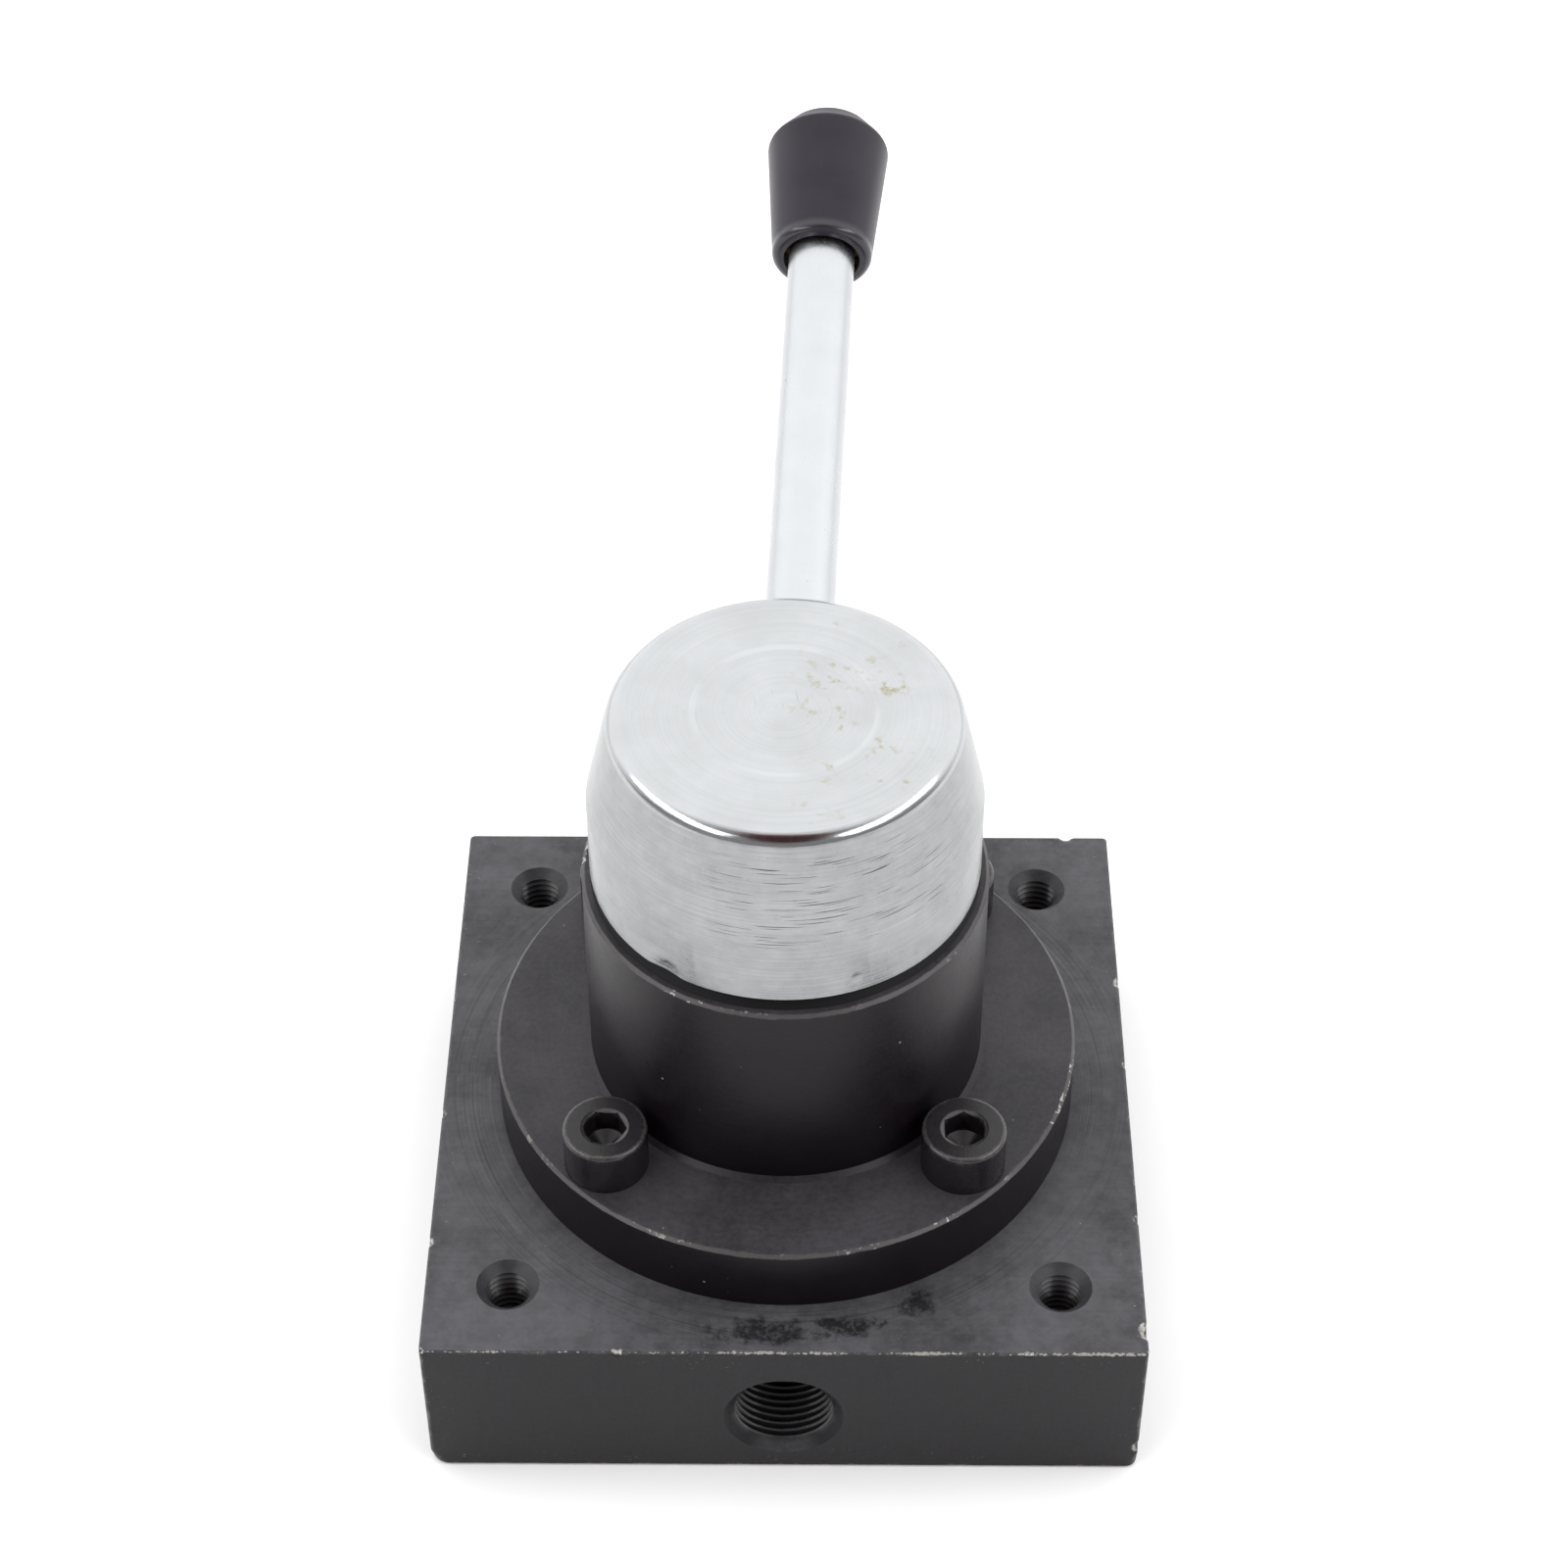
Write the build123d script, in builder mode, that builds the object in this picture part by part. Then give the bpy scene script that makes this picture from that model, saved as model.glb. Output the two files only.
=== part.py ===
from build123d import *
import os
from math import cos, radians, sin, tan

# Hand-operated rotary directional valve: a square one-piece steel body with a
# port in each side, a bolted bonnet, and a lever on a turned cap that swings a
# lapped distributing disc over four sealing sleeves.
#
# Millimetres. +Z is up, the valve axis is the Z axis and the body stands on
# z = 0. The lever points away along +Y, and port P opens towards -Y.

os.makedirs("parts", exist_ok=True)

# ---------------------------------------------------------------- sizes

# Running and standing clearances
SLIDE_FIT = 0.05        # radial, for a piece that turns or slides in another
STILL_FIT = 0.05        # radial, for a piece that is dropped in and stays
THREAD_FIT = 0.05       # radial, between a plain-drawn shank and its hole
BALL_FIT = 0.05         # between a ball and the face or groove it rolls on
FACE_GAP = 0.1          # between two faces that turn past each other
CREST_SHARE = 0.16      # of a thread's pitch that is left flat on its crest
POINT_ANGLE = 59.0      # half angle of a drill point
PAST = 1.0              # a cutting tool stands this far out of what it cuts

# Body: side ports, G 3/8
PORT_MAJOR_R = 8.331    # roots of the internal thread
PORT_THREAD_DEPTH = 0.856
PORT_PITCH = 1.337
PORT_THREAD_L = 12.5
PORT_LEAD = 0.869       # radial, lead-in chamfer outside the roots
PORT_RUNOUT = 3.5       # plain bore behind the thread
PORT_FLOOR = 3.6        # steel left under the mouth
DRILL_R = 4.5           # cross drilling behind each port
DRILL_PAST = 1.0        # it runs this far past the riser

# Body: top face
PORT_CIRCLE_R = 15.0    # sealing sleeves stand on this circle
POCKET_WEB = 0.5        # from the cross drilling's top to the pocket floor
RECESS_DEPTH = 4.0
MOUNT_INSET = 12.7      # mounting hole to the side faces
MOUNT_MAJOR_R = 4.0     # M8
MOUNT_THREAD_DEPTH = 0.6
MOUNT_PITCH = 1.25
MOUNT_THREAD_L = 16.0
MOUNT_RUNOUT = 3.0
MOUNT_LEAD = 0.85
BODY_MARGIN = 9.0       # flange edge to the side faces
BODY_CORNER_R = 0.8     # upright edges
BODY_EDGE = 0.3         # small chamfer round the top and the foot
FOOT_H = 3.2            # the corners are rounder below this height
FOOT_CORNERS = (2.2, 2.6, 3.0, 1.8)     # radius at the foot, from +X +Y anticlockwise

# Sealing sleeves with their rings and springs
SLEEVE_R = 6.0
SLEEVE_WALL = 2.5
SLEEVE_L = 6.2
SLEEVE_PROUD = 0.4      # stands above the recess floor
SLEEVE_GROOVE_DEPTH = 1.1
RING_ROOM = 0.3         # groove height beyond the ring's cord
SPRING_H = 1.4          # dished spring under each sleeve
SPRING_T = 0.5
SPRING_SETBACK = 0.1
RISER_SETBACK = 2.0     # riser smaller than the sleeve

# Distributing disc
ROTOR_LAP = 0.5         # the disc reaches this far past the sleeves
ROTOR_H = 12.6
CHANNEL_DEPTH = 5.0
CHANNEL_LAP = 0.5       # channel wider than a sleeve's bore, each side
TURN = 45.0             # the lever turns this far to either side
ROTOR_NOSE_H = 2.0
SLOT_DEPTH = 5.0
SLOT_ROOM = 0.4         # slot longer than the tang, each end

# Thrust bearing
RACE_CLEAR = 1.5        # radial, race bore round the spindle
RACE_T = 3.0
RACE_LIP = 0.75         # race to either side of a ball
BALL_R = 2.75
TRACK_DEPTH = 0.75      # how deep a ball sits in each race
BALL_COUNT = 12
CAGE_T = 1.6
CAGE_SETBACK = 0.2      # cage inside the races' edges
CAGE_CLEAR = 0.2        # radial, round a ball

# Spindle, bush and seals
SPINDLE_R = 9.0
SPINDLE_CHAMFER = 0.8
TANG_W = 8.0
COLLAR_CLEAR = 0.3      # radial, collar in the upper race
COLLAR_H = 3.0
BUSH_WALL = 2.0
BUSH_L = 9.0
SEAL_GROOVE_DEPTH = 1.9
SEAL_LAND = 1.0         # spindle land between and beside the two grooves
SEAL_ROOM = 0.075
BACKUP_T = 1.0
WASHER_RIM = 4.0        # washer outside the spindle
WASHER_T = 1.0
CLIP_T = 1.2
CLIP_W = 2.4
CLIP_GROOVE_DEPTH = 0.7
CLIP_GAP = 5.0
KEY_W = 6.0
KEY_H = 6.0
KEY_L = 12.0
KEY_IN_SPINDLE = 3.5
KEY_SETBACK = 2.0       # key below the top of the cap's bore
KEY_ROOM = 0.3          # above the key
SPINDLE_SETBACK = 0.5   # spindle below the top of the cap's bore

# Bonnet
CAVITY_WALL = 1.0       # from the disc's rim to the bonnet's cavity
SPIGOT_WALL = 2.5
SPIGOT_H = 2.0
GASKET_GAP = 2.2        # spigot to the O-ring groove
GASKET_D = 1.6
GASKET_ROOM = 1.4       # groove wider than the ring
GASKET_LAND = 0.8       # from the groove to under the tube's face
FLANGE_T = 11.7
FLANGE_RIM = 0.8        # flange left outside a screw head
HEAD_TO_TUBE = 1.2      # from a screw head to the tube
FLANGE_CHAMFER = 0.5
TUBE_CHAMFER = 0.5
TUBE_FILLET = 0.8
WELL_H = 5.0
RIM_WALL = 3.5          # bonnet rim round the detent plate
RIM_H = 1.7             # bonnet rim above the detent plate
PLATE_T = 5.0
PLATE_SEAT = 3.2        # from a plate screw to the well

# Bonnet screws, M8 x 25 socket head
SCREW_R = 4.0
SCREW_L = 25.0
SCREW_CLEAR = 0.3       # radial, in the flange
SCREW_HEAD_R = 6.5
SCREW_HEAD_H = 8.0
SCREW_EDGE_R = 0.7
SCREW_AF = 6.0
SCREW_SOCKET_DEPTH = 4.0
SCREW_MOUTH = 0.25      # radial, countersink round the socket's corners
SCREW_HOLE_PAST = 2.0   # tapped deeper than the screw
SCREW_TURNS = (14.0, 38.0, -3.0, 30.0)  # how far round each socket was left

# Plate screws, M4 x 10 countersunk
PLATE_SCREW_R = 2.0
PLATE_SCREW_L = 10.0
PLATE_SCREW_HEAD_R = 3.8
PLATE_SCREW_AF = 2.5
PLATE_SCREW_EDGE = 0.5  # plate left outside a screw's head
PLATE_SCREW_ANGLES = (0.0, 50.0, 130.0, 180.0)

# Detent and stop
DETENT_INSET = 8.5      # detent circle inside the plate's edge
DETENT_ANGLE = -90.0    # the ball sits opposite the lever
DETENT_BALL_R = 3.5
DETENT_DROP = 1.2       # how far the ball falls into a pocket
DETENT_WALL = 1.0       # plate left inside a pocket
DETENT_BORE_L = 20.0
WIRE_R = 0.45
COIL_COUNT = 6
STOP_PIN_R = 2.0
STOP_PIN_RISE = 2.9     # above the detent plate
STOP_PIN_CHAMFER = 0.3
STOP_ANGLE = 90.0
STOP_SLACK = 0.3

# Cap
CAP_SETBACK = 1.3       # cap inside the bonnet tube's face
CAP_TAPER = 3.7         # radial, over the conical part
CAP_H = 30.4
CAP_STRAIGHT_H = 13.9
CAP_EDGE_R = 3.2
CAP_FOOT_CHAMFER = 0.4
CAP_LIFT = 1.9          # cap edge above the bonnet rim
CAP_SPIGOT_CLEAR = 1.5  # radial, cap spigot in the bonnet mouth
CAP_SPIGOT_DROP = 0.5   # spigot reaches this far below the rim
CAP_BORE_H = 18.0       # above the cap's lower edge
SEAL_BODY_W = 2.6       # rubber lip ring under the cap
SEAL_BODY_H = 1.2
SEAL_SHOULDER_H = 0.6
SEAL_LIP_W = 0.8

# Lever and knob
LEVER_Z = 3.7           # where the lever's axis meets the valve axis, above the rim
LEVER_RISE = 15.2
LEVER_TURN = 2.8        # its hole is drilled this far off the middle line
LEVER_R = 5.53
LEVER_END = 116.0       # from the valve axis to the knob's insert
LEVER_STEP = 0.53       # rod to its screwed end, radial
LEVER_SEAT_DEPTH = 3.0
LEVER_POINT_STEP = 1.5  # screwed end to its dog point, radial
LEVER_POINT_DEPTH = 3.0
LEVER_POINT_ROOM = 0.3
STUD_STEP = 1.0         # screwed end of the rod to the knob's stud, radial
STUD_L = 14.0
STUD_CHAMFER = 0.6
KNOB_MOUTH_L = 2.4      # recess round the rod
KNOB_MOUTH_CLEAR = 0.87
KNOB_WALL = 1.9         # mouth to the small end's edge
KNOB_SWELL = 2.0        # small end to the widest place, radial
KNOB_END_DROP = 3.1     # widest place to the far end, radial
KNOB_SHOULDER = 4.1     # widest place to the far end, along
KNOB_L = 27.4
KNOB_EDGE_R = 1.2
INSERT_SETBACK = 0.2    # insert inside the mouth's edge
INSERT_L = 16.0
INSERT_FLUTES = 18
INSERT_FLUTE_R = 0.45

# ---------------------------------------------------------------- places

port_minor_r = PORT_MAJOR_R - PORT_THREAD_DEPTH
port_mouth_r = PORT_MAJOR_R + PORT_LEAD
mount_minor_r = MOUNT_MAJOR_R - MOUNT_THREAD_DEPTH
mount_mouth_r = MOUNT_MAJOR_R + MOUNT_LEAD

# heights, from the foot up
port_z = port_mouth_r + PORT_FLOOR
pocket_z = port_z + DRILL_R + POCKET_WEB
sleeve_z = pocket_z + SPRING_H
sleeve_top_z = sleeve_z + SLEEVE_L
recess_z = sleeve_top_z - SLEEVE_PROUD
body_h = recess_z + RECESS_DEPTH
flange_top_z = body_h + FLANGE_T
rotor_top_z = sleeve_top_z + ROTOR_H
bearing_h = 2 * (RACE_T + BALL_R - TRACK_DEPTH)
ball_z = rotor_top_z + bearing_h / 2
neck_z = rotor_top_z + bearing_h
bush_top_z = neck_z + BUSH_L
spindle_cord_r = SEAL_GROOVE_DEPTH / 2 + SLIDE_FIT / 4
seal_groove_h = 2 * spindle_cord_r + BACKUP_T + SEAL_ROOM
neck_top_z = bush_top_z + 2 * seal_groove_h + 3 * SEAL_LAND
plate_z = neck_top_z + WELL_H
plate_top_z = plate_z + PLATE_T
rim_z = plate_top_z + RIM_H
cap_z = rim_z + CAP_LIFT
cap_top_z = cap_z + CAP_H
cap_spigot_z = rim_z - CAP_SPIGOT_DROP
cap_bore_top_z = cap_z + CAP_BORE_H
key_z = cap_bore_top_z - KEY_SETBACK - KEY_L / 2
ball_land_z = plate_top_z + DETENT_BALL_R + BALL_FIT
pocket_ball_z = ball_land_z - DETENT_DROP
detent_bore_top_z = cap_spigot_z + DETENT_BORE_L

# radii, from the axis out
pocket_r = SLEEVE_R + SLIDE_FIT
sleeve_bore_r = SLEEVE_R - SLEEVE_WALL
riser_r = SLEEVE_R - RISER_SETBACK
rotor_r = PORT_CIRCLE_R + SLEEVE_R + ROTOR_LAP
seal_bore_r = SPINDLE_R + SLIDE_FIT
race_bore_r = SPINDLE_R + RACE_CLEAR
ball_circle_r = race_bore_r + BALL_R + RACE_LIP
race_r = ball_circle_r + BALL_R + RACE_LIP
cavity_r = rotor_r + CAVITY_WALL
spigot_r = cavity_r + SPIGOT_WALL
gasket_groove_w = GASKET_D + GASKET_ROOM
gasket_r = spigot_r + GASKET_GAP + gasket_groove_w / 2
tube_r = gasket_r + gasket_groove_w / 2 + GASKET_LAND
screw_circle_r = tube_r + HEAD_TO_TUBE + SCREW_HEAD_R
flange_r = screw_circle_r + SCREW_HEAD_R + FLANGE_RIM
body_side = 2 * (flange_r + BODY_MARGIN)
mount_at = body_side / 2 - MOUNT_INSET
plate_r = tube_r - RIM_WALL
plate_screw_circle_r = plate_r - PLATE_SCREW_HEAD_R - PLATE_SCREW_EDGE
well_r = plate_screw_circle_r - PLATE_SEAT
detent_circle_r = plate_r - DETENT_INSET
detent_bore_r = DETENT_BALL_R + SLIDE_FIT
cap_r = tube_r - CAP_SETBACK
cap_spigot_r = plate_r - CAP_SPIGOT_CLEAR

# the lever's line: x runs along it from the valve axis
lever_azimuth = 90.0 - LEVER_TURN
lever_along = Vector(
    cos(radians(lever_azimuth)) * cos(radians(LEVER_RISE)),
    sin(radians(lever_azimuth)) * cos(radians(LEVER_RISE)),
    sin(radians(LEVER_RISE)),
)
lever_side = Vector(sin(radians(lever_azimuth)), -cos(radians(lever_azimuth)), 0)
lever_origin = Vector(0, 0, rim_z + LEVER_Z)
lever_plane = Plane(origin=lever_origin, x_dir=lever_along, z_dir=lever_side)
lever_axis = Axis(lever_origin, lever_along)
lever_thread_r = LEVER_R - LEVER_STEP
lever_point_r = lever_thread_r - LEVER_POINT_STEP
stud_r = lever_thread_r - STUD_STEP
lever_seat = cap_r / cos(radians(LEVER_RISE)) - LEVER_SEAT_DEPTH
lever_tip = SPINDLE_R - LEVER_POINT_DEPTH
lever_thread_start = (
    (SPINDLE_R + lever_thread_r * sin(radians(LEVER_RISE))) / cos(radians(LEVER_RISE)) + STILL_FIT
)
stud_end = LEVER_END + STUD_L
knob_mouth_r = LEVER_R + KNOB_MOUTH_CLEAR
knob_start = LEVER_END - KNOB_MOUTH_L
insert_r = knob_mouth_r - INSERT_SETBACK
insert_end = LEVER_END + INSERT_L


# ---------------------------------------------------------------- helpers

def turned(outline, plane=Plane.XZ, axis=Axis.Z, mode=Mode.ADD):
    """Revolve a closed outline of (along the plane's x, along its y) points."""
    with BuildSketch(plane) as profile:
        with BuildLine():
            Polyline(*outline, close=True)
        make_face()
    revolve(profile.sketch, axis=axis, mode=mode)


def torus_ring(ring_r, cord_r, z):
    """An O-ring of the size it takes up when squeezed into its groove."""
    with BuildSketch(Plane.XZ) as section:
        with Locations((ring_r, z)):
            Circle(cord_r)
    revolve(section.sketch, axis=Axis.Z)


def disc(radius, low, high, mode=Mode.ADD):
    """A plain cylinder on the valve axis between two heights."""
    with BuildSketch(Plane.XY.offset(low)) as face:
        Circle(radius)
    extrude(face.sketch, amount=high - low, mode=mode)


def side_plane(azimuth, height):
    """A plane through the valve axis: x runs outwards at azimuth, y runs up."""
    a = radians(azimuth)
    return Plane(
        origin=(0, 0, height),
        x_dir=(cos(a), sin(a), 0),
        z_dir=(sin(a), -cos(a), 0),
    )


def point_depth(radius):
    """Depth of the cone that a drill of this radius leaves."""
    return radius / tan(radians(POINT_ANGLE))


def polar(radius, azimuth):
    """A point on a circle about the valve axis."""
    return (radius * cos(radians(azimuth)), radius * sin(radians(azimuth)))


def thread_outline(lead, minor, major, pitch, length):
    """Points along a tapped hole's wall from its mouth inwards, as (distance in, radius).

    Each turn is one V groove, so the crests stay on the minor radius.
    """
    points = []
    for turn in range(int((length - lead) / pitch)):
        start = lead + turn * pitch
        points.append((start + CREST_SHARE / 2 * pitch, minor))
        points.append((start + pitch / 2, major))
        points.append((start + (1 - CREST_SHARE / 2) * pitch, minor))
    return points


def square_at(height, corners):
    """The body's outline at a height, each corner with its own radius."""
    with BuildSketch(Plane.XY.offset(height)) as outline:
        Rectangle(body_side, body_side)
        for corner, radius in enumerate(corners):
            direction = Axis((0, 0, 0), (*polar(1, 45 + 90 * corner), 0))
            fillet(outline.vertices().sort_by(direction)[-1], radius=radius)
    return outline.sketch


# ---------------------------------------------------------------- body

port_wall = body_side / 2
port_lead = port_mouth_r - port_minor_r
port_bottom = PORT_THREAD_L + PORT_RUNOUT
port_end = port_wall - port_bottom - point_depth(port_minor_r - DRILL_R)
drill_end = PORT_CIRCLE_R - riser_r - DRILL_PAST
port_outline = (
    [(port_wall + PAST, 0), (port_wall + PAST, port_mouth_r + PAST)]
    + [(port_wall - port_lead, port_minor_r)]
    + [
        (port_wall - depth, radius)
        for depth, radius in thread_outline(
            port_lead, port_minor_r, PORT_MAJOR_R, PORT_PITCH, PORT_THREAD_L
        )
    ]
    + [(port_wall - port_bottom, port_minor_r), (port_end, DRILL_R)]
    + [(drill_end, DRILL_R), (drill_end - point_depth(DRILL_R), 0)]
)

mount_lead = mount_mouth_r - mount_minor_r
mount_bottom = MOUNT_THREAD_L + MOUNT_RUNOUT
mount_outline = (
    [(0, body_h + PAST), (mount_mouth_r + PAST, body_h + PAST)]
    + [(mount_minor_r, body_h - mount_lead)]
    + [
        (radius, body_h - depth)
        for depth, radius in thread_outline(
            mount_lead, mount_minor_r, MOUNT_MAJOR_R, MOUNT_PITCH, MOUNT_THREAD_L
        )
    ]
    + [(mount_minor_r, body_h - mount_bottom)]
    + [(0, body_h - mount_bottom - point_depth(mount_minor_r))]
)

with BuildPart() as mount_tool:
    turned(mount_outline)

with BuildPart() as valve_body:
    upright = (BODY_CORNER_R,) * len(FOOT_CORNERS)
    loft([square_at(0, FOOT_CORNERS), square_at(FOOT_H, upright)], ruled=True)
    extrude(square_at(FOOT_H, upright), amount=body_h - FOOT_H)
    chamfer(valve_body.faces().sort_by(Axis.Z)[-1].edges(), length=BODY_EDGE)
    chamfer(valve_body.faces().sort_by(Axis.Z)[0].edges(), length=BODY_EDGE)
    for quarter in range(4):
        face_plane = side_plane(90 * quarter, port_z)
        turned(port_outline, face_plane, Axis((0, 0, port_z), face_plane.x_dir), Mode.SUBTRACT)
    disc(spigot_r + STILL_FIT, recess_z, body_h, Mode.SUBTRACT)
    with BuildSketch(Plane.XY.offset(recess_z)):
        with PolarLocations(PORT_CIRCLE_R, 4):
            Circle(pocket_r)
    extrude(amount=pocket_z - recess_z, mode=Mode.SUBTRACT)
    with BuildSketch(Plane.XY.offset(recess_z)):
        with PolarLocations(PORT_CIRCLE_R, 4):
            Circle(riser_r)
    extrude(amount=port_z - recess_z, mode=Mode.SUBTRACT)
    with GridLocations(2 * mount_at, 2 * mount_at, 2, 2):
        add(mount_tool.part, mode=Mode.SUBTRACT)
    with BuildSketch(Plane.XY.offset(body_h)):
        with PolarLocations(screw_circle_r, 4, start_angle=45):
            Circle(SCREW_R + THREAD_FIT)
    extrude(amount=FLANGE_T - SCREW_L - SCREW_HOLE_PAST, mode=Mode.SUBTRACT)
valve_body.part.label = "valve_body"
export_step(valve_body.part, "parts/valve_body.step")

# ---------------------------------------------------------------- sealing sleeves

groove_r = SLEEVE_R - SLEEVE_GROOVE_DEPTH
groove_low_z = sleeve_z + (SLEEVE_L - SLEEVE_GROOVE_DEPTH - RING_ROOM) / 2
groove_high_z = sleeve_z + (SLEEVE_L + SLEEVE_GROOVE_DEPTH + RING_ROOM) / 2

with BuildPart() as sleeve:
    turned([
        (sleeve_bore_r, sleeve_z), (SLEEVE_R, sleeve_z),
        (SLEEVE_R, groove_low_z), (groove_r, groove_low_z),
        (groove_r, groove_high_z), (SLEEVE_R, groove_high_z),
        (SLEEVE_R, sleeve_top_z), (sleeve_bore_r, sleeve_top_z),
    ])

with BuildPart() as seal_sleeves:
    with PolarLocations(PORT_CIRCLE_R, 4):
        add(sleeve.part)
seal_sleeves.part.label = "seal_sleeves"
export_step(seal_sleeves.part, "parts/seal_sleeves.step")

with BuildPart() as sleeve_ring:
    sleeve_cord_r = (pocket_r - groove_r) / 2
    torus_ring(groove_r + sleeve_cord_r, sleeve_cord_r, sleeve_z + SLEEVE_L / 2)

with BuildPart() as sleeve_o_rings:
    with PolarLocations(PORT_CIRCLE_R, 4):
        add(sleeve_ring.part)
sleeve_o_rings.part.label = "sleeve_o_rings"
export_step(sleeve_o_rings.part, "parts/sleeve_o_rings.step")

with BuildPart() as dished_spring:
    spring_in = riser_r + SPRING_SETBACK
    spring_out = SLEEVE_R - SPRING_SETBACK
    turned([
        (spring_out, pocket_z), (spring_out, pocket_z + SPRING_T),
        (spring_in, pocket_z + SPRING_H), (spring_in, pocket_z + SPRING_H - SPRING_T),
    ])

with BuildPart() as sleeve_springs:
    with PolarLocations(PORT_CIRCLE_R, 4):
        add(dished_spring.part)
sleeve_springs.part.label = "sleeve_springs"
export_step(sleeve_springs.part, "parts/sleeve_springs.step")

# ---------------------------------------------------------------- rotor

nose_top_z = rotor_top_z + ROTOR_NOSE_H

with BuildPart() as rotor:
    disc(rotor_r, sleeve_top_z, rotor_top_z)
    disc(race_bore_r - SLIDE_FIT, rotor_top_z, nose_top_z)
    with BuildSketch(Plane.XY.offset(sleeve_top_z)):
        for middle in (-90, 90):
            SlotArc(
                CenterArc((0, 0), PORT_CIRCLE_R, middle - TURN, 2 * TURN),
                2 * (sleeve_bore_r + CHANNEL_LAP),
            )
    extrude(amount=CHANNEL_DEPTH, mode=Mode.SUBTRACT)
    with BuildSketch(Plane.XY.offset(nose_top_z)):
        Rectangle(2 * (SPINDLE_R + SLOT_ROOM), TANG_W + 2 * SLIDE_FIT)
    extrude(amount=-SLOT_DEPTH - ROTOR_NOSE_H, mode=Mode.SUBTRACT)
rotor.part.label = "rotor"
export_step(rotor.part, "parts/rotor.step")

# ---------------------------------------------------------------- thrust bearing

def race(low):
    """A bearing race between low and low + RACE_T, with the balls' track in it."""
    turned([
        (race_bore_r, low), (race_r, low),
        (race_r, low + RACE_T), (race_bore_r, low + RACE_T),
    ])
    with BuildSketch(Plane.XZ) as track:
        with Locations((ball_circle_r, ball_z)):
            Circle(BALL_R + BALL_FIT)
    revolve(track.sketch, axis=Axis.Z, mode=Mode.SUBTRACT)


with BuildPart() as thrust_race_lower:
    race(rotor_top_z)
thrust_race_lower.part.label = "thrust_race_lower"
export_step(thrust_race_lower.part, "parts/thrust_race_lower.step")

with BuildPart() as thrust_race_upper:
    race(neck_z - RACE_T)
thrust_race_upper.part.label = "thrust_race_upper"
export_step(thrust_race_upper.part, "parts/thrust_race_upper.step")

with BuildPart() as thrust_balls:
    with Locations(Plane.XY.offset(ball_z)):
        with PolarLocations(ball_circle_r, BALL_COUNT):
            Sphere(BALL_R)
thrust_balls.part.label = "thrust_balls"
export_step(thrust_balls.part, "parts/thrust_balls.step")

with BuildPart() as thrust_cage:
    with BuildSketch(Plane.XY.offset(ball_z - CAGE_T / 2)):
        Circle(race_r - CAGE_SETBACK)
        Circle(race_bore_r + CAGE_SETBACK, mode=Mode.SUBTRACT)
    extrude(amount=CAGE_T)
    with Locations(Plane.XY.offset(ball_z)):
        with PolarLocations(ball_circle_r, BALL_COUNT):
            Sphere(BALL_R + CAGE_CLEAR, mode=Mode.SUBTRACT)
thrust_cage.part.label = "thrust_cage"
export_step(thrust_cage.part, "parts/thrust_cage.step")

# ---------------------------------------------------------------- spindle

tang_z = rotor_top_z - SLOT_DEPTH + FACE_GAP
tang_top_z = nose_top_z + FACE_GAP
collar_top_z = neck_z - FACE_GAP
seal_groove_r = SPINDLE_R - SEAL_GROOVE_DEPTH
seal_grooves = [
    bush_top_z + SEAL_LAND + step * (seal_groove_h + SEAL_LAND) for step in range(2)
]
washer_z = neck_top_z + FACE_GAP
clip_z = washer_z + WASHER_T + FACE_GAP
clip_groove_r = SPINDLE_R - CLIP_GROOVE_DEPTH
key_floor_y = KEY_IN_SPINDLE - SPINDLE_R


def ring_cut(inner, low, high):
    """Cut a square groove round the spindle, in as far as inner."""
    turned([
        (inner, low), (SPINDLE_R + PAST, low), (SPINDLE_R + PAST, high), (inner, high),
    ], mode=Mode.SUBTRACT)


with BuildPart() as spindle:
    with BuildSketch(Plane.XY.offset(tang_z)):
        Circle(SPINDLE_R)
        Rectangle(2 * SPINDLE_R, TANG_W, mode=Mode.INTERSECT)
    extrude(amount=tang_top_z - tang_z)
    disc(SPINDLE_R, tang_top_z, cap_bore_top_z - SPINDLE_SETBACK)
    disc(race_bore_r - COLLAR_CLEAR, collar_top_z - COLLAR_H, collar_top_z)
    chamfer(spindle.faces().sort_by(Axis.Z)[-1].edges(), length=SPINDLE_CHAMFER)
    for groove_z in seal_grooves:
        ring_cut(seal_groove_r, groove_z, groove_z + seal_groove_h)
    ring_cut(clip_groove_r, clip_z, clip_z + CLIP_T)
    with Locations((0, key_floor_y, key_z)):
        Box(KEY_W, 2 * KEY_IN_SPINDLE, KEY_L, align=(Align.CENTER, Align.MAX, Align.CENTER),
            mode=Mode.SUBTRACT)
    turned([
        (lever_tip - LEVER_POINT_ROOM, 0), (2 * SPINDLE_R, 0),
        (2 * SPINDLE_R, lever_point_r + THREAD_FIT),
        (lever_tip - LEVER_POINT_ROOM, lever_point_r + THREAD_FIT),
    ], lever_plane, lever_axis, Mode.SUBTRACT)
spindle.part.label = "spindle"
export_step(spindle.part, "parts/spindle.step")

with BuildPart() as spindle_bush:
    turned([
        (seal_bore_r, neck_z), (seal_bore_r + BUSH_WALL, neck_z),
        (seal_bore_r + BUSH_WALL, bush_top_z), (seal_bore_r, bush_top_z),
    ])
spindle_bush.part.label = "spindle_bush"
export_step(spindle_bush.part, "parts/spindle_bush.step")

with BuildPart() as spindle_o_rings:
    for groove_z in seal_grooves:
        torus_ring(seal_groove_r + spindle_cord_r, spindle_cord_r, groove_z + spindle_cord_r)
spindle_o_rings.part.label = "spindle_o_rings"
export_step(spindle_o_rings.part, "parts/spindle_o_rings.step")

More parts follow.
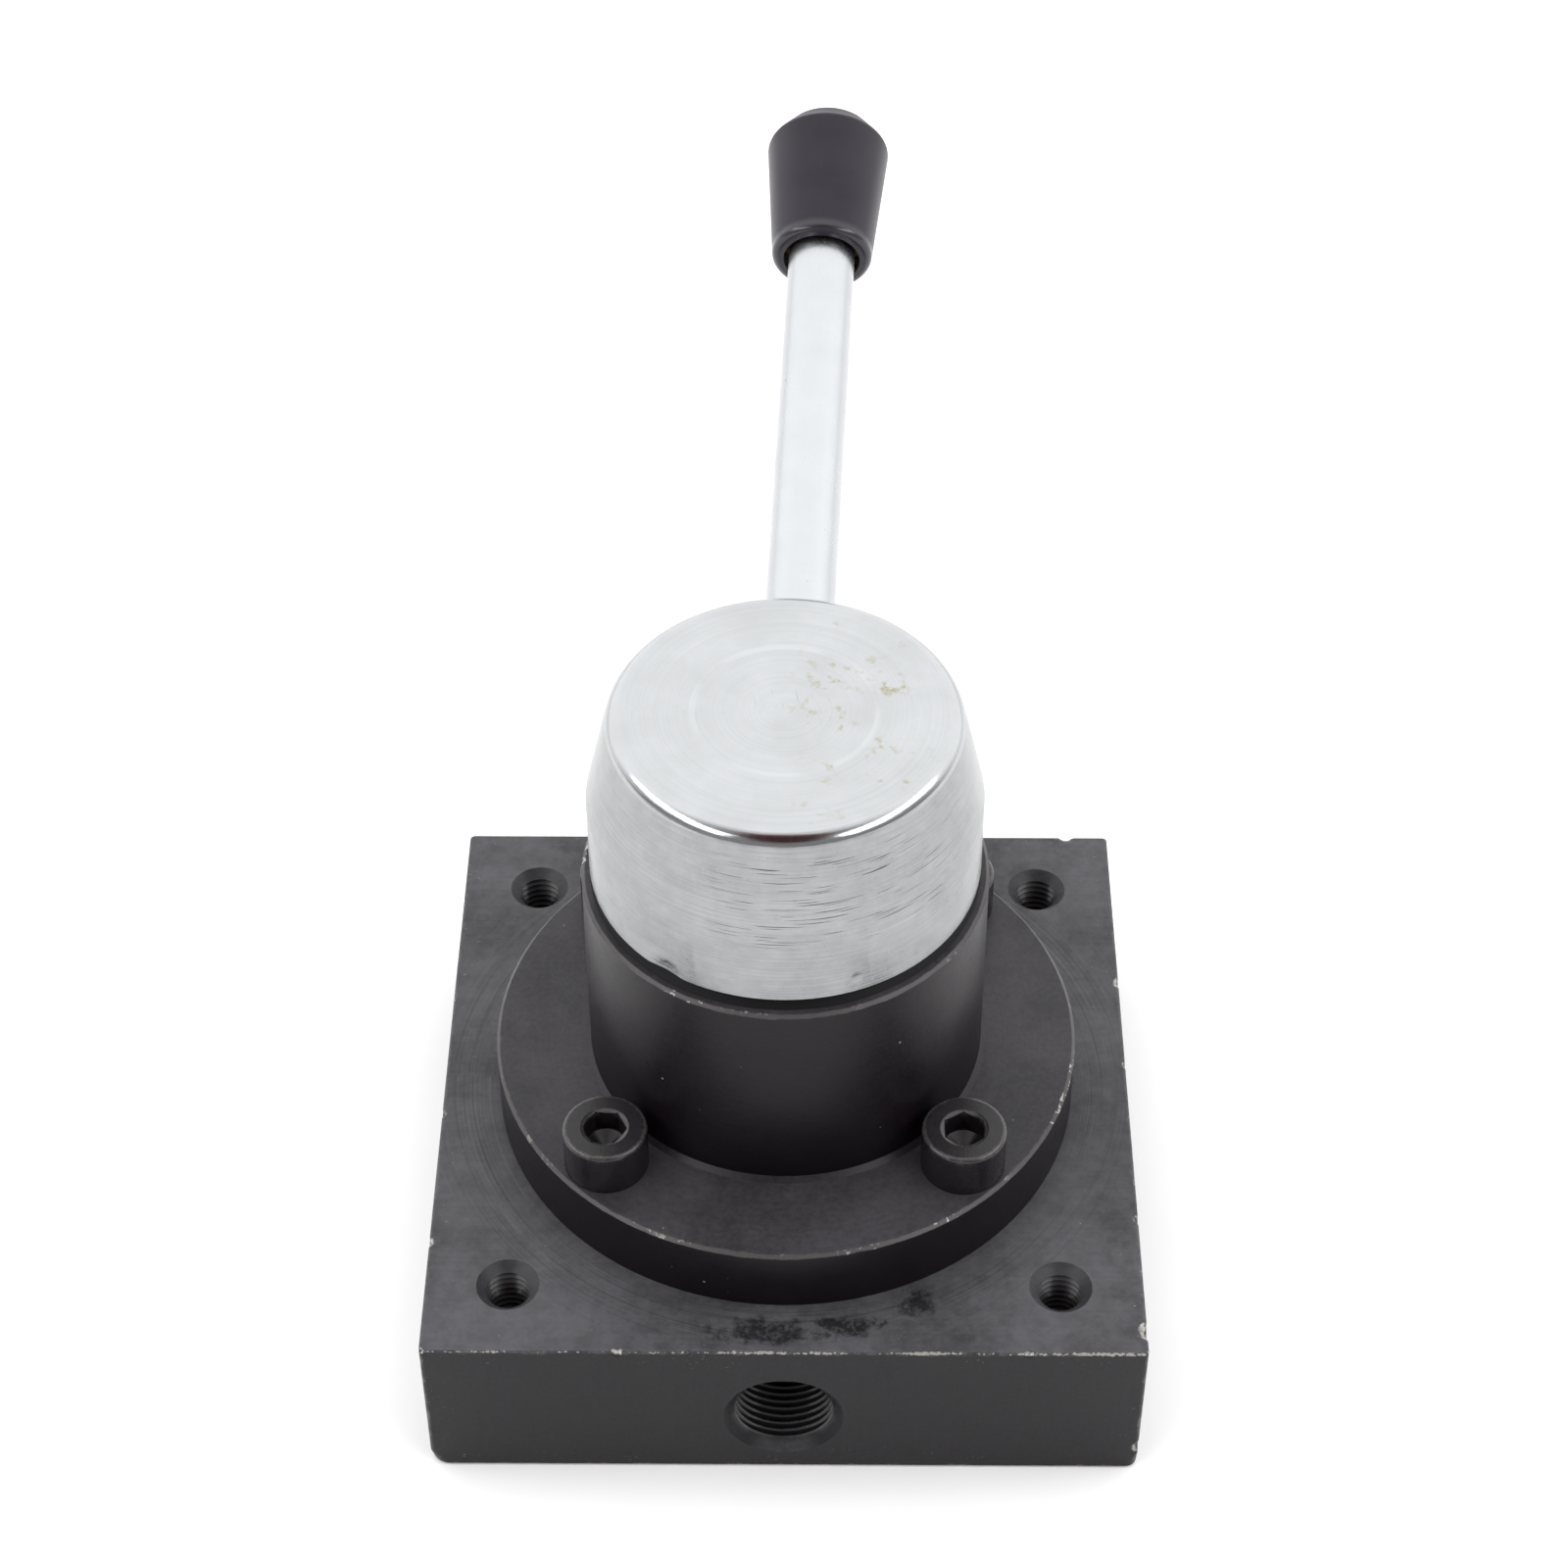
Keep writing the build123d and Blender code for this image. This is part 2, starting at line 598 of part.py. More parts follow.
with BuildPart() as backup_rings:
    for groove_z in seal_grooves:
        top = groove_z + seal_groove_h
        turned([
            (seal_groove_r, top - BACKUP_T), (SPINDLE_R, top - BACKUP_T),
            (SPINDLE_R, top), (seal_groove_r, top),
        ])
backup_rings.part.label = "backup_rings"
export_step(backup_rings.part, "parts/backup_rings.step")

with BuildPart() as spindle_washer:
    washer_r = SPINDLE_R + WASHER_RIM
    turned([
        (seal_bore_r, washer_z), (washer_r, washer_z),
        (washer_r, washer_z + WASHER_T), (seal_bore_r, washer_z + WASHER_T),
    ])
spindle_washer.part.label = "spindle_washer"
export_step(spindle_washer.part, "parts/spindle_washer.step")

with BuildPart() as retaining_ring:
    with BuildSketch(Plane.XY.offset(clip_z)):
        Circle(clip_groove_r + CLIP_W)
        Circle(clip_groove_r, mode=Mode.SUBTRACT)
        with Locations((clip_groove_r, 0)):
            Rectangle(4 * CLIP_W, CLIP_GAP, mode=Mode.SUBTRACT)
    extrude(amount=CLIP_T)
retaining_ring.part.label = "retaining_ring"
export_step(retaining_ring.part, "parts/retaining_ring.step")

with BuildPart() as drive_key:
    with Locations((0, key_floor_y, key_z)):
        Box(KEY_W, KEY_H, KEY_L, align=(Align.CENTER, Align.MAX, Align.CENTER))
    fillet(drive_key.edges().filter_by(Axis.Y), radius=KEY_W / 2 - SLIDE_FIT)
drive_key.part.label = "drive_key"
export_step(drive_key.part, "parts/drive_key.step")

# ---------------------------------------------------------------- bonnet

gasket_in = gasket_r - gasket_groove_w / 2
gasket_out = gasket_r + gasket_groove_w / 2

with BuildPart() as bonnet:
    turned([
        (cavity_r, body_h - SPIGOT_H), (spigot_r, body_h - SPIGOT_H), (spigot_r, body_h),
        (flange_r, body_h), (flange_r, flange_top_z - FLANGE_CHAMFER),
        (flange_r - FLANGE_CHAMFER, flange_top_z), (tube_r + TUBE_FILLET, flange_top_z),
        (tube_r, flange_top_z + TUBE_FILLET), (tube_r, rim_z - TUBE_CHAMFER),
        (tube_r - TUBE_CHAMFER, rim_z), (plate_r + STILL_FIT, rim_z),
        (plate_r + STILL_FIT, plate_z), (well_r, plate_z), (well_r, neck_top_z),
        (seal_bore_r, neck_top_z), (seal_bore_r, bush_top_z),
        (seal_bore_r + BUSH_WALL, bush_top_z), (seal_bore_r + BUSH_WALL, neck_z),
        (race_r + STILL_FIT, neck_z), (race_r + STILL_FIT, neck_z - RACE_T),
        (cavity_r, neck_z - RACE_T),
    ])
    turned([
        (gasket_in, body_h - PAST), (gasket_out, body_h - PAST),
        (gasket_out, body_h + GASKET_D), (gasket_in, body_h + GASKET_D),
    ], mode=Mode.SUBTRACT)
    with BuildSketch(Plane.XY.offset(flange_top_z)):
        with PolarLocations(screw_circle_r, 4, start_angle=45):
            Circle(SCREW_R + SCREW_CLEAR)
    extrude(amount=-FLANGE_T, mode=Mode.SUBTRACT)
    with BuildSketch(Plane.XY.offset(plate_z)):
        for azimuth in PLATE_SCREW_ANGLES:
            with Locations(polar(plate_screw_circle_r, azimuth)):
                Circle(PLATE_SCREW_R + THREAD_FIT)
    extrude(amount=PLATE_T - PLATE_SCREW_L - PAST, mode=Mode.SUBTRACT)
bonnet.part.label = "bonnet"
export_step(bonnet.part, "parts/bonnet.step")

with BuildPart() as bonnet_o_ring:
    torus_ring(gasket_r, GASKET_D / 2, body_h + GASKET_D / 2)
bonnet_o_ring.part.label = "bonnet_o_ring"
export_step(bonnet_o_ring.part, "parts/bonnet_o_ring.step")

with BuildPart() as bonnet_screws:
    head_top_z = flange_top_z + SCREW_HEAD_H
    socket_z = head_top_z - SCREW_SOCKET_DEPTH
    socket_r = SCREW_AF / 2 / cos(radians(30))
    mouth_r = socket_r + SCREW_MOUTH
    mouth_h = (mouth_r - SCREW_AF / 2) / 2
    with Locations(Plane.XY.offset(flange_top_z)):
        with PolarLocations(screw_circle_r, 4, start_angle=45):
            Cylinder(SCREW_HEAD_R, SCREW_HEAD_H, align=(Align.CENTER, Align.CENTER, Align.MIN))
            Cylinder(SCREW_R, SCREW_L, align=(Align.CENTER, Align.CENTER, Align.MAX))
    fillet(
        bonnet_screws.edges().filter_by(GeomType.CIRCLE).group_by(Axis.Z)[-1],
        radius=SCREW_EDGE_R,
    )
    with BuildSketch(Plane.XY.offset(head_top_z)):
        for corner, turn in enumerate(SCREW_TURNS):
            with Locations(polar(screw_circle_r, 45 + 90 * corner)):
                RegularPolygon(SCREW_AF / 2, 6, major_radius=False, rotation=turn)
    extrude(amount=-SCREW_SOCKET_DEPTH, mode=Mode.SUBTRACT)
    with Locations(Plane.XY.offset(head_top_z)):
        with PolarLocations(screw_circle_r, 4, start_angle=45):
            Cone(SCREW_AF / 2, mouth_r, mouth_h, align=(Align.CENTER, Align.CENTER, Align.MAX),
                 mode=Mode.SUBTRACT)
    with Locations(Plane.XY.offset(socket_z)):
        with PolarLocations(screw_circle_r, 4, start_angle=45):
            Cone(0, SCREW_AF / 2, point_depth(SCREW_AF / 2),
                 align=(Align.CENTER, Align.CENTER, Align.MAX), mode=Mode.SUBTRACT)
bonnet_screws.part.label = "bonnet_screws"
export_step(bonnet_screws.part, "parts/bonnet_screws.step")

# ---------------------------------------------------------------- detent and stop

head_depth = PLATE_SCREW_HEAD_R - PLATE_SCREW_R

with BuildPart() as detent_plate:
    plate_bore_r = detent_circle_r - DETENT_BALL_R - DETENT_WALL
    turned([
        (plate_bore_r, plate_z), (plate_r, plate_z),
        (plate_r, plate_top_z), (plate_bore_r, plate_top_z),
    ])
    for step in (-TURN, 0, TURN):
        with Locations((*polar(detent_circle_r, DETENT_ANGLE + step), pocket_ball_z)):
            Sphere(DETENT_BALL_R + BALL_FIT, mode=Mode.SUBTRACT)
    with BuildSketch(Plane.XY.offset(plate_z)):
        with Locations(polar(detent_circle_r, STOP_ANGLE)):
            Circle(STOP_PIN_R)
        for azimuth in PLATE_SCREW_ANGLES:
            with Locations(polar(plate_screw_circle_r, azimuth)):
                Circle(PLATE_SCREW_R + THREAD_FIT)
    extrude(amount=PLATE_T, mode=Mode.SUBTRACT)
    for azimuth in PLATE_SCREW_ANGLES:
        with Locations((*polar(plate_screw_circle_r, azimuth), plate_top_z)):
            Cone(PLATE_SCREW_R + THREAD_FIT, PLATE_SCREW_HEAD_R + THREAD_FIT, head_depth,
                 align=(Align.CENTER, Align.CENTER, Align.MAX), mode=Mode.SUBTRACT)
detent_plate.part.label = "detent_plate"
export_step(detent_plate.part, "parts/detent_plate.step")

with BuildPart() as plate_screws:
    for azimuth in PLATE_SCREW_ANGLES:
        with Locations((*polar(plate_screw_circle_r, azimuth), plate_top_z)):
            Cylinder(PLATE_SCREW_R, PLATE_SCREW_L, align=(Align.CENTER, Align.CENTER, Align.MAX))
            Cone(PLATE_SCREW_R, PLATE_SCREW_HEAD_R, head_depth,
                 align=(Align.CENTER, Align.CENTER, Align.MAX))
    with BuildSketch(Plane.XY.offset(plate_top_z)):
        for azimuth in PLATE_SCREW_ANGLES:
            with Locations(polar(plate_screw_circle_r, azimuth)):
                RegularPolygon(PLATE_SCREW_AF / 2, 6, major_radius=False)
    extrude(amount=-head_depth, mode=Mode.SUBTRACT)
plate_screws.part.label = "plate_screws"
export_step(plate_screws.part, "parts/plate_screws.step")

with BuildPart() as stop_pin:
    with BuildSketch(Plane.XY.offset(plate_z)):
        with Locations(polar(detent_circle_r, STOP_ANGLE)):
            Circle(STOP_PIN_R)
    extrude(amount=PLATE_T + STOP_PIN_RISE)
    chamfer(stop_pin.faces().sort_by(Axis.Z)[-1].edges(), length=STOP_PIN_CHAMFER)
stop_pin.part.label = "stop_pin"
export_step(stop_pin.part, "parts/stop_pin.step")

with BuildPart() as detent_ball:
    with Locations((*polar(detent_circle_r, DETENT_ANGLE), ball_land_z)):
        Sphere(DETENT_BALL_R)
detent_ball.part.label = "detent_ball"
export_step(detent_ball.part, "parts/detent_ball.step")

with BuildPart() as detent_spring:
    spring_low_z = ball_land_z + DETENT_BALL_R + WIRE_R
    spring_high_z = detent_bore_top_z - WIRE_R
    with BuildLine():
        coil = Helix(
            pitch=(spring_high_z - spring_low_z) / COIL_COUNT,
            height=spring_high_z - spring_low_z,
            radius=DETENT_BALL_R - 3 * WIRE_R,
            center=(*polar(detent_circle_r, DETENT_ANGLE), spring_low_z),
        )
    with BuildSketch(Plane(origin=coil @ 0, z_dir=coil % 0)):
        Circle(WIRE_R)
    sweep()
detent_spring.part.label = "detent_spring"
export_step(detent_spring.part, "parts/detent_spring.step")

# ---------------------------------------------------------------- cap

stop_groove_h = plate_top_z + STOP_PIN_RISE + 2 * STOP_SLACK - cap_spigot_z

with BuildPart() as cap:
    turned([
        (0, cap_z), (cap_r - CAP_FOOT_CHAMFER, cap_z), (cap_r, cap_z + CAP_FOOT_CHAMFER),
        (cap_r, cap_z + CAP_STRAIGHT_H), (cap_r - CAP_TAPER, cap_top_z), (0, cap_top_z),
    ])
    fillet(cap.edges().group_by(Axis.Z)[-1], radius=CAP_EDGE_R)
    disc(cap_spigot_r, cap_spigot_z, cap_z)
    disc(seal_bore_r, cap_spigot_z, cap_bore_top_z, Mode.SUBTRACT)
    with BuildSketch(Plane.XY.offset(cap_spigot_z)):
        SlotArc(
            CenterArc((0, 0), detent_circle_r, STOP_ANGLE - TURN, 2 * TURN),
            2 * (STOP_PIN_R + STOP_SLACK),
        )
    extrude(amount=stop_groove_h, mode=Mode.SUBTRACT)
    with BuildSketch(Plane.XY.offset(cap_spigot_z)):
        with Locations(polar(detent_circle_r, DETENT_ANGLE)):
            Circle(detent_bore_r)
    extrude(amount=DETENT_BORE_L, mode=Mode.SUBTRACT)
    with BuildSketch(Plane.XY.offset(cap_spigot_z)):
        with Locations((0, key_floor_y)):
            Rectangle(KEY_W, KEY_H + KEY_ROOM, align=(Align.CENTER, Align.MAX))
    extrude(amount=key_z + KEY_L / 2 + KEY_ROOM - cap_spigot_z, mode=Mode.SUBTRACT)
    turned([
        (SPINDLE_R - PAST, 0), (2 * cap_r, 0), (2 * cap_r, LEVER_R + THREAD_FIT),
        (lever_seat, LEVER_R + THREAD_FIT), (lever_seat, lever_thread_r + THREAD_FIT),
        (SPINDLE_R - PAST, lever_thread_r + THREAD_FIT),
    ], lever_plane, lever_axis, Mode.SUBTRACT)
cap.part.label = "cap"
export_step(cap.part, "parts/cap.step")

with BuildPart() as dust_seal:
    lip_r = (plate_r + tube_r) / 2
    lip_z = rim_z + FACE_GAP
    turned([
        (cap_spigot_r, cap_z), (cap_spigot_r + SEAL_BODY_W, cap_z),
        (cap_spigot_r + SEAL_BODY_W, cap_z - SEAL_SHOULDER_H),
        (lip_r + SEAL_LIP_W / 2, lip_z), (lip_r - SEAL_LIP_W / 2, lip_z),
        (cap_spigot_r + SEAL_BODY_W / 2, cap_z - SEAL_BODY_H),
        (cap_spigot_r, cap_z - SEAL_BODY_H),
    ])
dust_seal.part.label = "dust_seal"
export_step(dust_seal.part, "parts/dust_seal.step")

# ---------------------------------------------------------------- lever and knob

with BuildPart() as lever_rod:
    turned([
        (lever_tip, 0), (lever_tip, lever_point_r), (lever_thread_start, lever_point_r),
        (lever_thread_start, lever_thread_r), (lever_seat, lever_thread_r), (lever_seat, LEVER_R),
        (LEVER_END, LEVER_R), (LEVER_END, stud_r), (stud_end - STUD_CHAMFER, stud_r),
        (stud_end, stud_r - STUD_CHAMFER), (stud_end, 0),
    ], lever_plane, lever_axis)
lever_rod.part.label = "lever_rod"
export_step(lever_rod.part, "parts/lever_rod.step")

with BuildPart() as knob_insert:
    turned([
        (LEVER_END, stud_r + THREAD_FIT), (LEVER_END, insert_r),
        (insert_end, insert_r), (insert_end, stud_r + THREAD_FIT),
    ], lever_plane, lever_axis)
    flute_plane = Plane(
        origin=lever_plane.from_local_coords((LEVER_END, 0, 0)),
        x_dir=lever_side,
        z_dir=lever_along,
    )
    with BuildSketch(flute_plane):
        with PolarLocations(insert_r, INSERT_FLUTES):
            Circle(INSERT_FLUTE_R)
    extrude(amount=INSERT_L, mode=Mode.SUBTRACT)
knob_insert.part.label = "knob_insert"
export_step(knob_insert.part, "parts/knob_insert.step")

with BuildPart() as knob:
    knob_end = knob_start + KNOB_L
    knob_small_r = knob_mouth_r + KNOB_WALL
    knob_big_r = knob_small_r + KNOB_SWELL
    turned([
        (knob_start, 0), (knob_start, knob_small_r), (knob_end - KNOB_SHOULDER, knob_big_r),
        (knob_end, knob_big_r - KNOB_END_DROP), (knob_end, 0),
    ], lever_plane, lever_axis)
    fillet(knob.edges().filter_by(GeomType.CIRCLE), radius=KNOB_EDGE_R)
    turned([
        (knob_start - PAST, 0), (knob_start - PAST, knob_mouth_r), (LEVER_END, knob_mouth_r),
        (LEVER_END, insert_r), (insert_end, insert_r), (insert_end, 0),
    ], lever_plane, lever_axis, Mode.SUBTRACT)
knob.part.label = "knob"
export_step(knob.part, "parts/knob.step")
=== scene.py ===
# %% [markdown]
# # A hand-operated rotary valve, finished the way the workshop leaves it
#
# The valve is a square steel block with a round bonnet bolted on top, a bright
# plated cap, and a lever that ends in a moulded knob. The shapes come from the
# CAD model, which is loaded first. This lesson gives every piece its finish,
# adds the knocks that the edges have taken, and lights it like a studio table.

import math

import bmesh
import bpy
from mathutils import Matrix, Vector, noise


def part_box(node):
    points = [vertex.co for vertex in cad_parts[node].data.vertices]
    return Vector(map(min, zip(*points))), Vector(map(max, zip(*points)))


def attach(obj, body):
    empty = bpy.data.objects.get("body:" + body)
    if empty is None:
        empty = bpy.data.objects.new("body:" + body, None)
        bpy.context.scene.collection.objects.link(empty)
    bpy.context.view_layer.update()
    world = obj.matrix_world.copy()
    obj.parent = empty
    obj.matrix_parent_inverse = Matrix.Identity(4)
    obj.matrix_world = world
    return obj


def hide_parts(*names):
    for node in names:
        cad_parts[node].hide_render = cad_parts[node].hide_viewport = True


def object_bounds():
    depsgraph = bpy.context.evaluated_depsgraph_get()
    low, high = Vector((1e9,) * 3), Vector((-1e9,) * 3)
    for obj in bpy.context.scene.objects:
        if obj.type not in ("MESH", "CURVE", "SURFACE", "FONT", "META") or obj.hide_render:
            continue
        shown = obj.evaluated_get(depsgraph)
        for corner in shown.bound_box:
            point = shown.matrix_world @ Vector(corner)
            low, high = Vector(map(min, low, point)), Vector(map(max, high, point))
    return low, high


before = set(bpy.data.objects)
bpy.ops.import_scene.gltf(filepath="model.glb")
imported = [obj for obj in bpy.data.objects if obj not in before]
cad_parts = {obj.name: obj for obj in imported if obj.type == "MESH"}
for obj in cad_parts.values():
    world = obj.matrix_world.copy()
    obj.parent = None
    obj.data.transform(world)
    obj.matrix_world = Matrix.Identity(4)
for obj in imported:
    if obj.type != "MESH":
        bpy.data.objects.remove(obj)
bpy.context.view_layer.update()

# %% [markdown]
# ## Writing a finish as arithmetic
#
# A finish is a graph of shader nodes. It can be built by hand in the editor,
# but a graph of fifty nodes is easier to read as a formula. `Wire` holds one
# output of a node, and adding or multiplying wires adds the Math node that
# does it. The operations have the names that Blender's Math node gives them.

# %% A wire
class Wire:
    """One output of a shader node. Arithmetic on it adds Math nodes."""

    def __init__(self, graph, socket):
        self.graph, self.socket = graph, socket

    def math(self, operation, *others):
        return self.graph.node("ShaderNodeMath", {"operation": operation}, [self, *others])

    def __add__(self, other):
        return self.math("ADD", other)

    def __sub__(self, other):
        return self.math("SUBTRACT", other)

    def __rsub__(self, other):
        return self.graph.node("ShaderNodeMath", {"operation": "SUBTRACT"}, [other, self])

    def __mul__(self, other):
        return self.math("MULTIPLY", other)

    def __truediv__(self, other):
        return self.math("DIVIDE", other)

    def __pow__(self, other):
        return self.math("POWER", other)

    def __abs__(self):
        return self.math("ABSOLUTE")

    __radd__, __rmul__ = __add__, __mul__

    def least(self, other):
        return self.math("MINIMUM", other)

    def most(self, other):
        return self.math("MAXIMUM", other)

    def twin(self, output):
        """Another output of the same node."""
        return Wire(self.graph, self.socket.node.outputs[output])

    def rise(self, low, high, start=0.0, end=1.0):
        """start below low, end above high, a soft step between. With low above high it falls."""
        return self.graph.node(
            "ShaderNodeMapRange", {"interpolation_type": "SMOOTHSTEP"},
            {"Value": self, "From Min": low, "From Max": high, "To Min": start, "To Max": end},
        )


print("arithmetic on wires ready")

# %% [markdown]
# ## The graph that owns the wires
#
# Materials and the room's light are both graphs of nodes. `Graph` holds either
# one, and its one method `node` makes any node: first its settings, then its
# sockets. `Finish` is the graph of a material. It starts with what every
# finish needs: the place on the valve in millimetres, and how far a face looks
# up. Both come from the object itself, so they stay put when the view turns
# and move along when the lever does.

# %% A graph and a finish
class Graph:
    """The nodes of a material or of the world."""

    def __init__(self, owner):
        owner.use_nodes = True
        self.tree = owner.node_tree
        self.tree.nodes.clear()

    def node(self, kind, settings=None, sockets=(), out=0):
        made = self.tree.nodes.new(kind)
        for key, value in (settings or {}).items():
            if key == "stops":
                for stop, (at, colour) in zip(made.color_ramp.elements, value):
                    stop.position, stop.color = at, (*colour, 1.0)
            else:
                setattr(made, key, value)
        pairs = sockets.items() if isinstance(sockets, dict) else enumerate(sockets)
        for key, value in pairs:
            if isinstance(value, Wire):
                self.tree.links.new(value.socket, made.inputs[key])
            elif made.inputs[key].type == "RGBA":
                made.inputs[key].default_value = (*value, 1.0)
            else:
                made.inputs[key].default_value = value
        return Wire(self, made.outputs[out])

    def close(self, kind, surface):
        """Add the output node and feed it."""
        output = self.tree.nodes.new(kind)
        self.tree.links.new(surface.socket, output.inputs["Surface"])


class Finish(Graph):
    """The graph of one material, in millimetres on the piece it covers."""

    def __init__(self, name):
        self.material = bpy.data.materials.new(name)
        super().__init__(self.material)
        metres = self.node("ShaderNodeTexCoord", out="Object")
        self.place = self.node(
            "ShaderNodeVectorMath", {"operation": "SCALE"}, {"Vector": metres, "Scale": 1000.0}
        )
        self.x = self.node("ShaderNodeSeparateXYZ", sockets=[self.place])
        self.y, self.z = self.x.twin("Y"), self.x.twin("Z")
        self.up = self.node("ShaderNodeSeparateXYZ", sockets=[metres.twin("Normal")], out="Z")

    def from_axis(self):
        """The distance from the valve's upright axis."""
        return (self.x * self.x + self.y * self.y) ** 0.5

    def angle(self):
        """The angle round that axis, counted from the right."""
        return self.y.math("ARCTAN2", self.x)

    def vector(self, x, y, z=0.0):
        return self.node("ShaderNodeCombineXYZ", sockets=[x, y, z])

    def blend(self, share, one, other):
        """One colour where share is 0, the other where it is 1."""
        return self.node(
            "ShaderNodeMix", {"data_type": "RGBA"}, {0: share, 6: one, 7: other}, out=2
        )


print("graph and finish ready")

# %% [markdown]
# ## Three kinds of unevenness
#
# Real metal is uneven in three ways that matter here: cloudy patches, lines
# left by a cutter, and small separate specks. Noise gives the first. Noise
# stretched along one direction gives the second, because a tool mark is long
# in the direction of the cut and short across it. Voronoi cells give the
# third: each cell holds one round speck, and its random colour decides
# whether the speck is there at all.

# %% Patches, tool marks and specks
def patches(finish, size, detail=3.0, at=(0.0, 0.0, 0.0)):
    """Cloudy noise about size millimetres across, roughly 0.3 to 0.7."""
    moved = finish.node("ShaderNodeVectorMath", {"operation": "ADD"}, [finish.place, at])
    return finish.node(
        "ShaderNodeTexNoise", {},
        {"Vector": moved, "Scale": 1.0 / size, "Detail": detail, "Roughness": 0.6},
    )


def marks(finish, along, across, length, width, detail=2.0):
    """Lines that run in the direction of along and vary over width across it."""
    return finish.node(
        "ShaderNodeTexNoise", {},
        {"Vector": finish.vector(along / length, across / width), "Scale": 1.0,
         "Detail": detail, "Roughness": 0.55},
    )


def specks(finish, spacing, radius, share):
    """1 on small round specks, one to a cell of the given spacing, in a share of the cells."""
    cell = finish.node(
        "ShaderNodeTexVoronoi", {"feature": "F1"},
        {"Vector": finish.place, "Scale": 1.0 / spacing, "Randomness": 1.0},
    )
    lot = finish.node("ShaderNodeSeparateXYZ", sockets=[cell.twin("Color")])
    there = lot.rise(1.0 - share, 1.0 - share + 0.01)
    size = (lot.twin("Y") + 0.4) * radius
    return there * (cell * spacing).rise(size * 1.2, size * 0.7)


def median(a, b, c):
    """The middle one of three wires."""
    return a.least(b).most(a.most(b).least(c))


print("patches, marks and specks ready")

# %% [markdown]
# ## From a formula to a material
#
# One shader does for steel, zinc, plastic and rubber alike. What differs is
# the colour, how rough and how metallic it is, and the relief: a height from 0
# to 1, raised by a few hundredths of a millimetre at most. Real depth, such as
# a thread or a dent, is left to the mesh.

# %% Colour, shader and slot
def srgb(red, green, blue):
    """A colour as a paint chart gives it, 0 to 255, as the light it reflects."""
    return tuple(
        ((c / 255 + 0.055) / 1.055) ** 2.4 if c > 10 else c / 3295 for c in (red, green, blue)
    )


def surface(finish, colour, roughness, metallic, height, depth, coat=0.0, specular=0.5):
    """Close the graph: one shader, with height (0 to 1) raised by depth millimetres."""
    bump = finish.node(
        "ShaderNodeBump", {},
        {"Height": height, "Distance": depth / 1000, "Strength": 1.0},
    )
    shader = finish.node(
        "ShaderNodeBsdfPrincipled", {},
        {"Base Color": colour, "Roughness": roughness, "Metallic": metallic, "Normal": bump,
         "Coat Weight": coat, "Coat Roughness": 0.16, "Specular IOR Level": specular},
    )
    finish.close("ShaderNodeOutputMaterial", shader)
    return finish.material


def wear(node, material):
    """Put a finish on a CAD node."""
    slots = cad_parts[node].data.materials
    slots.clear()
    slots.append(material)


print("materials can be made")

# %% [markdown]
# ## Where things are
#
# The finishes follow the pieces: wear sits on edges, rings run round the valve
# axis. All places come from the boxes of the CAD nodes, so the finishes still
# fit if the CAD changes a little.

# %% Places, in millimetres
SCREW_HEAD_HEIGHT = 8.0
TUBE_PAST_CAP = 1.3


def corner(node, which):
    """The low (0) or high (1) corner of a node's box, in millimetres."""
    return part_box(node)[which] * 1000


body_half = corner("valve_body", 1).x
body_top = corner("valve_body", 1).z
flange_r = corner("bonnet", 1).x
rim_z = corner("bonnet", 1).z
cap_low = corner("dust_seal", 1).z
cap_high = corner("cap", 1).z
cap_r = corner("cap", 1).x
head_top = corner("bonnet_screws", 1).z
head_far = corner("bonnet_screws", 1).x
flange_top = head_top - SCREW_HEAD_HEIGHT
tube_r = cap_r + TUBE_PAST_CAP
print("body", body_half, body_top, "flange", flange_r, flange_top, "rim", tube_r, rim_z)
print("cap", cap_r, cap_low, cap_high, "screws", head_far, head_top)

# %% [markdown]
# ## Knocks in the metal
#
# A valve that has lain in a toolbox has small dents, and a dent is a change of
# shape, not of colour. A CAD node is never changed, so a knocked piece is a
# copy that stands in for it. The copy needs points where the metal moved: long
# edges near each knock are halved until they are short, and then the points
# inside the knock are pushed in, most at its middle. The push varies a little
# from point to point, because torn metal isn't a smooth bowl.

# %% The gap from a knock to an edge
SHARP_ANGLE = math.radians(24)
GRAIN_OF_TEAR = 1500


def gap_to_edge(edge, point):
    """How far a point lies from an edge."""
    start, run = edge.verts[0].co, edge.verts[1].co - edge.verts[0].co
    share = max(0.0, min(1.0, (point - start).dot(run) / run.length_squared))
    return (start + run * share - point).length


print("edges sharper than", round(math.degrees(SHARP_ANGLE)), "degrees stay crisp")

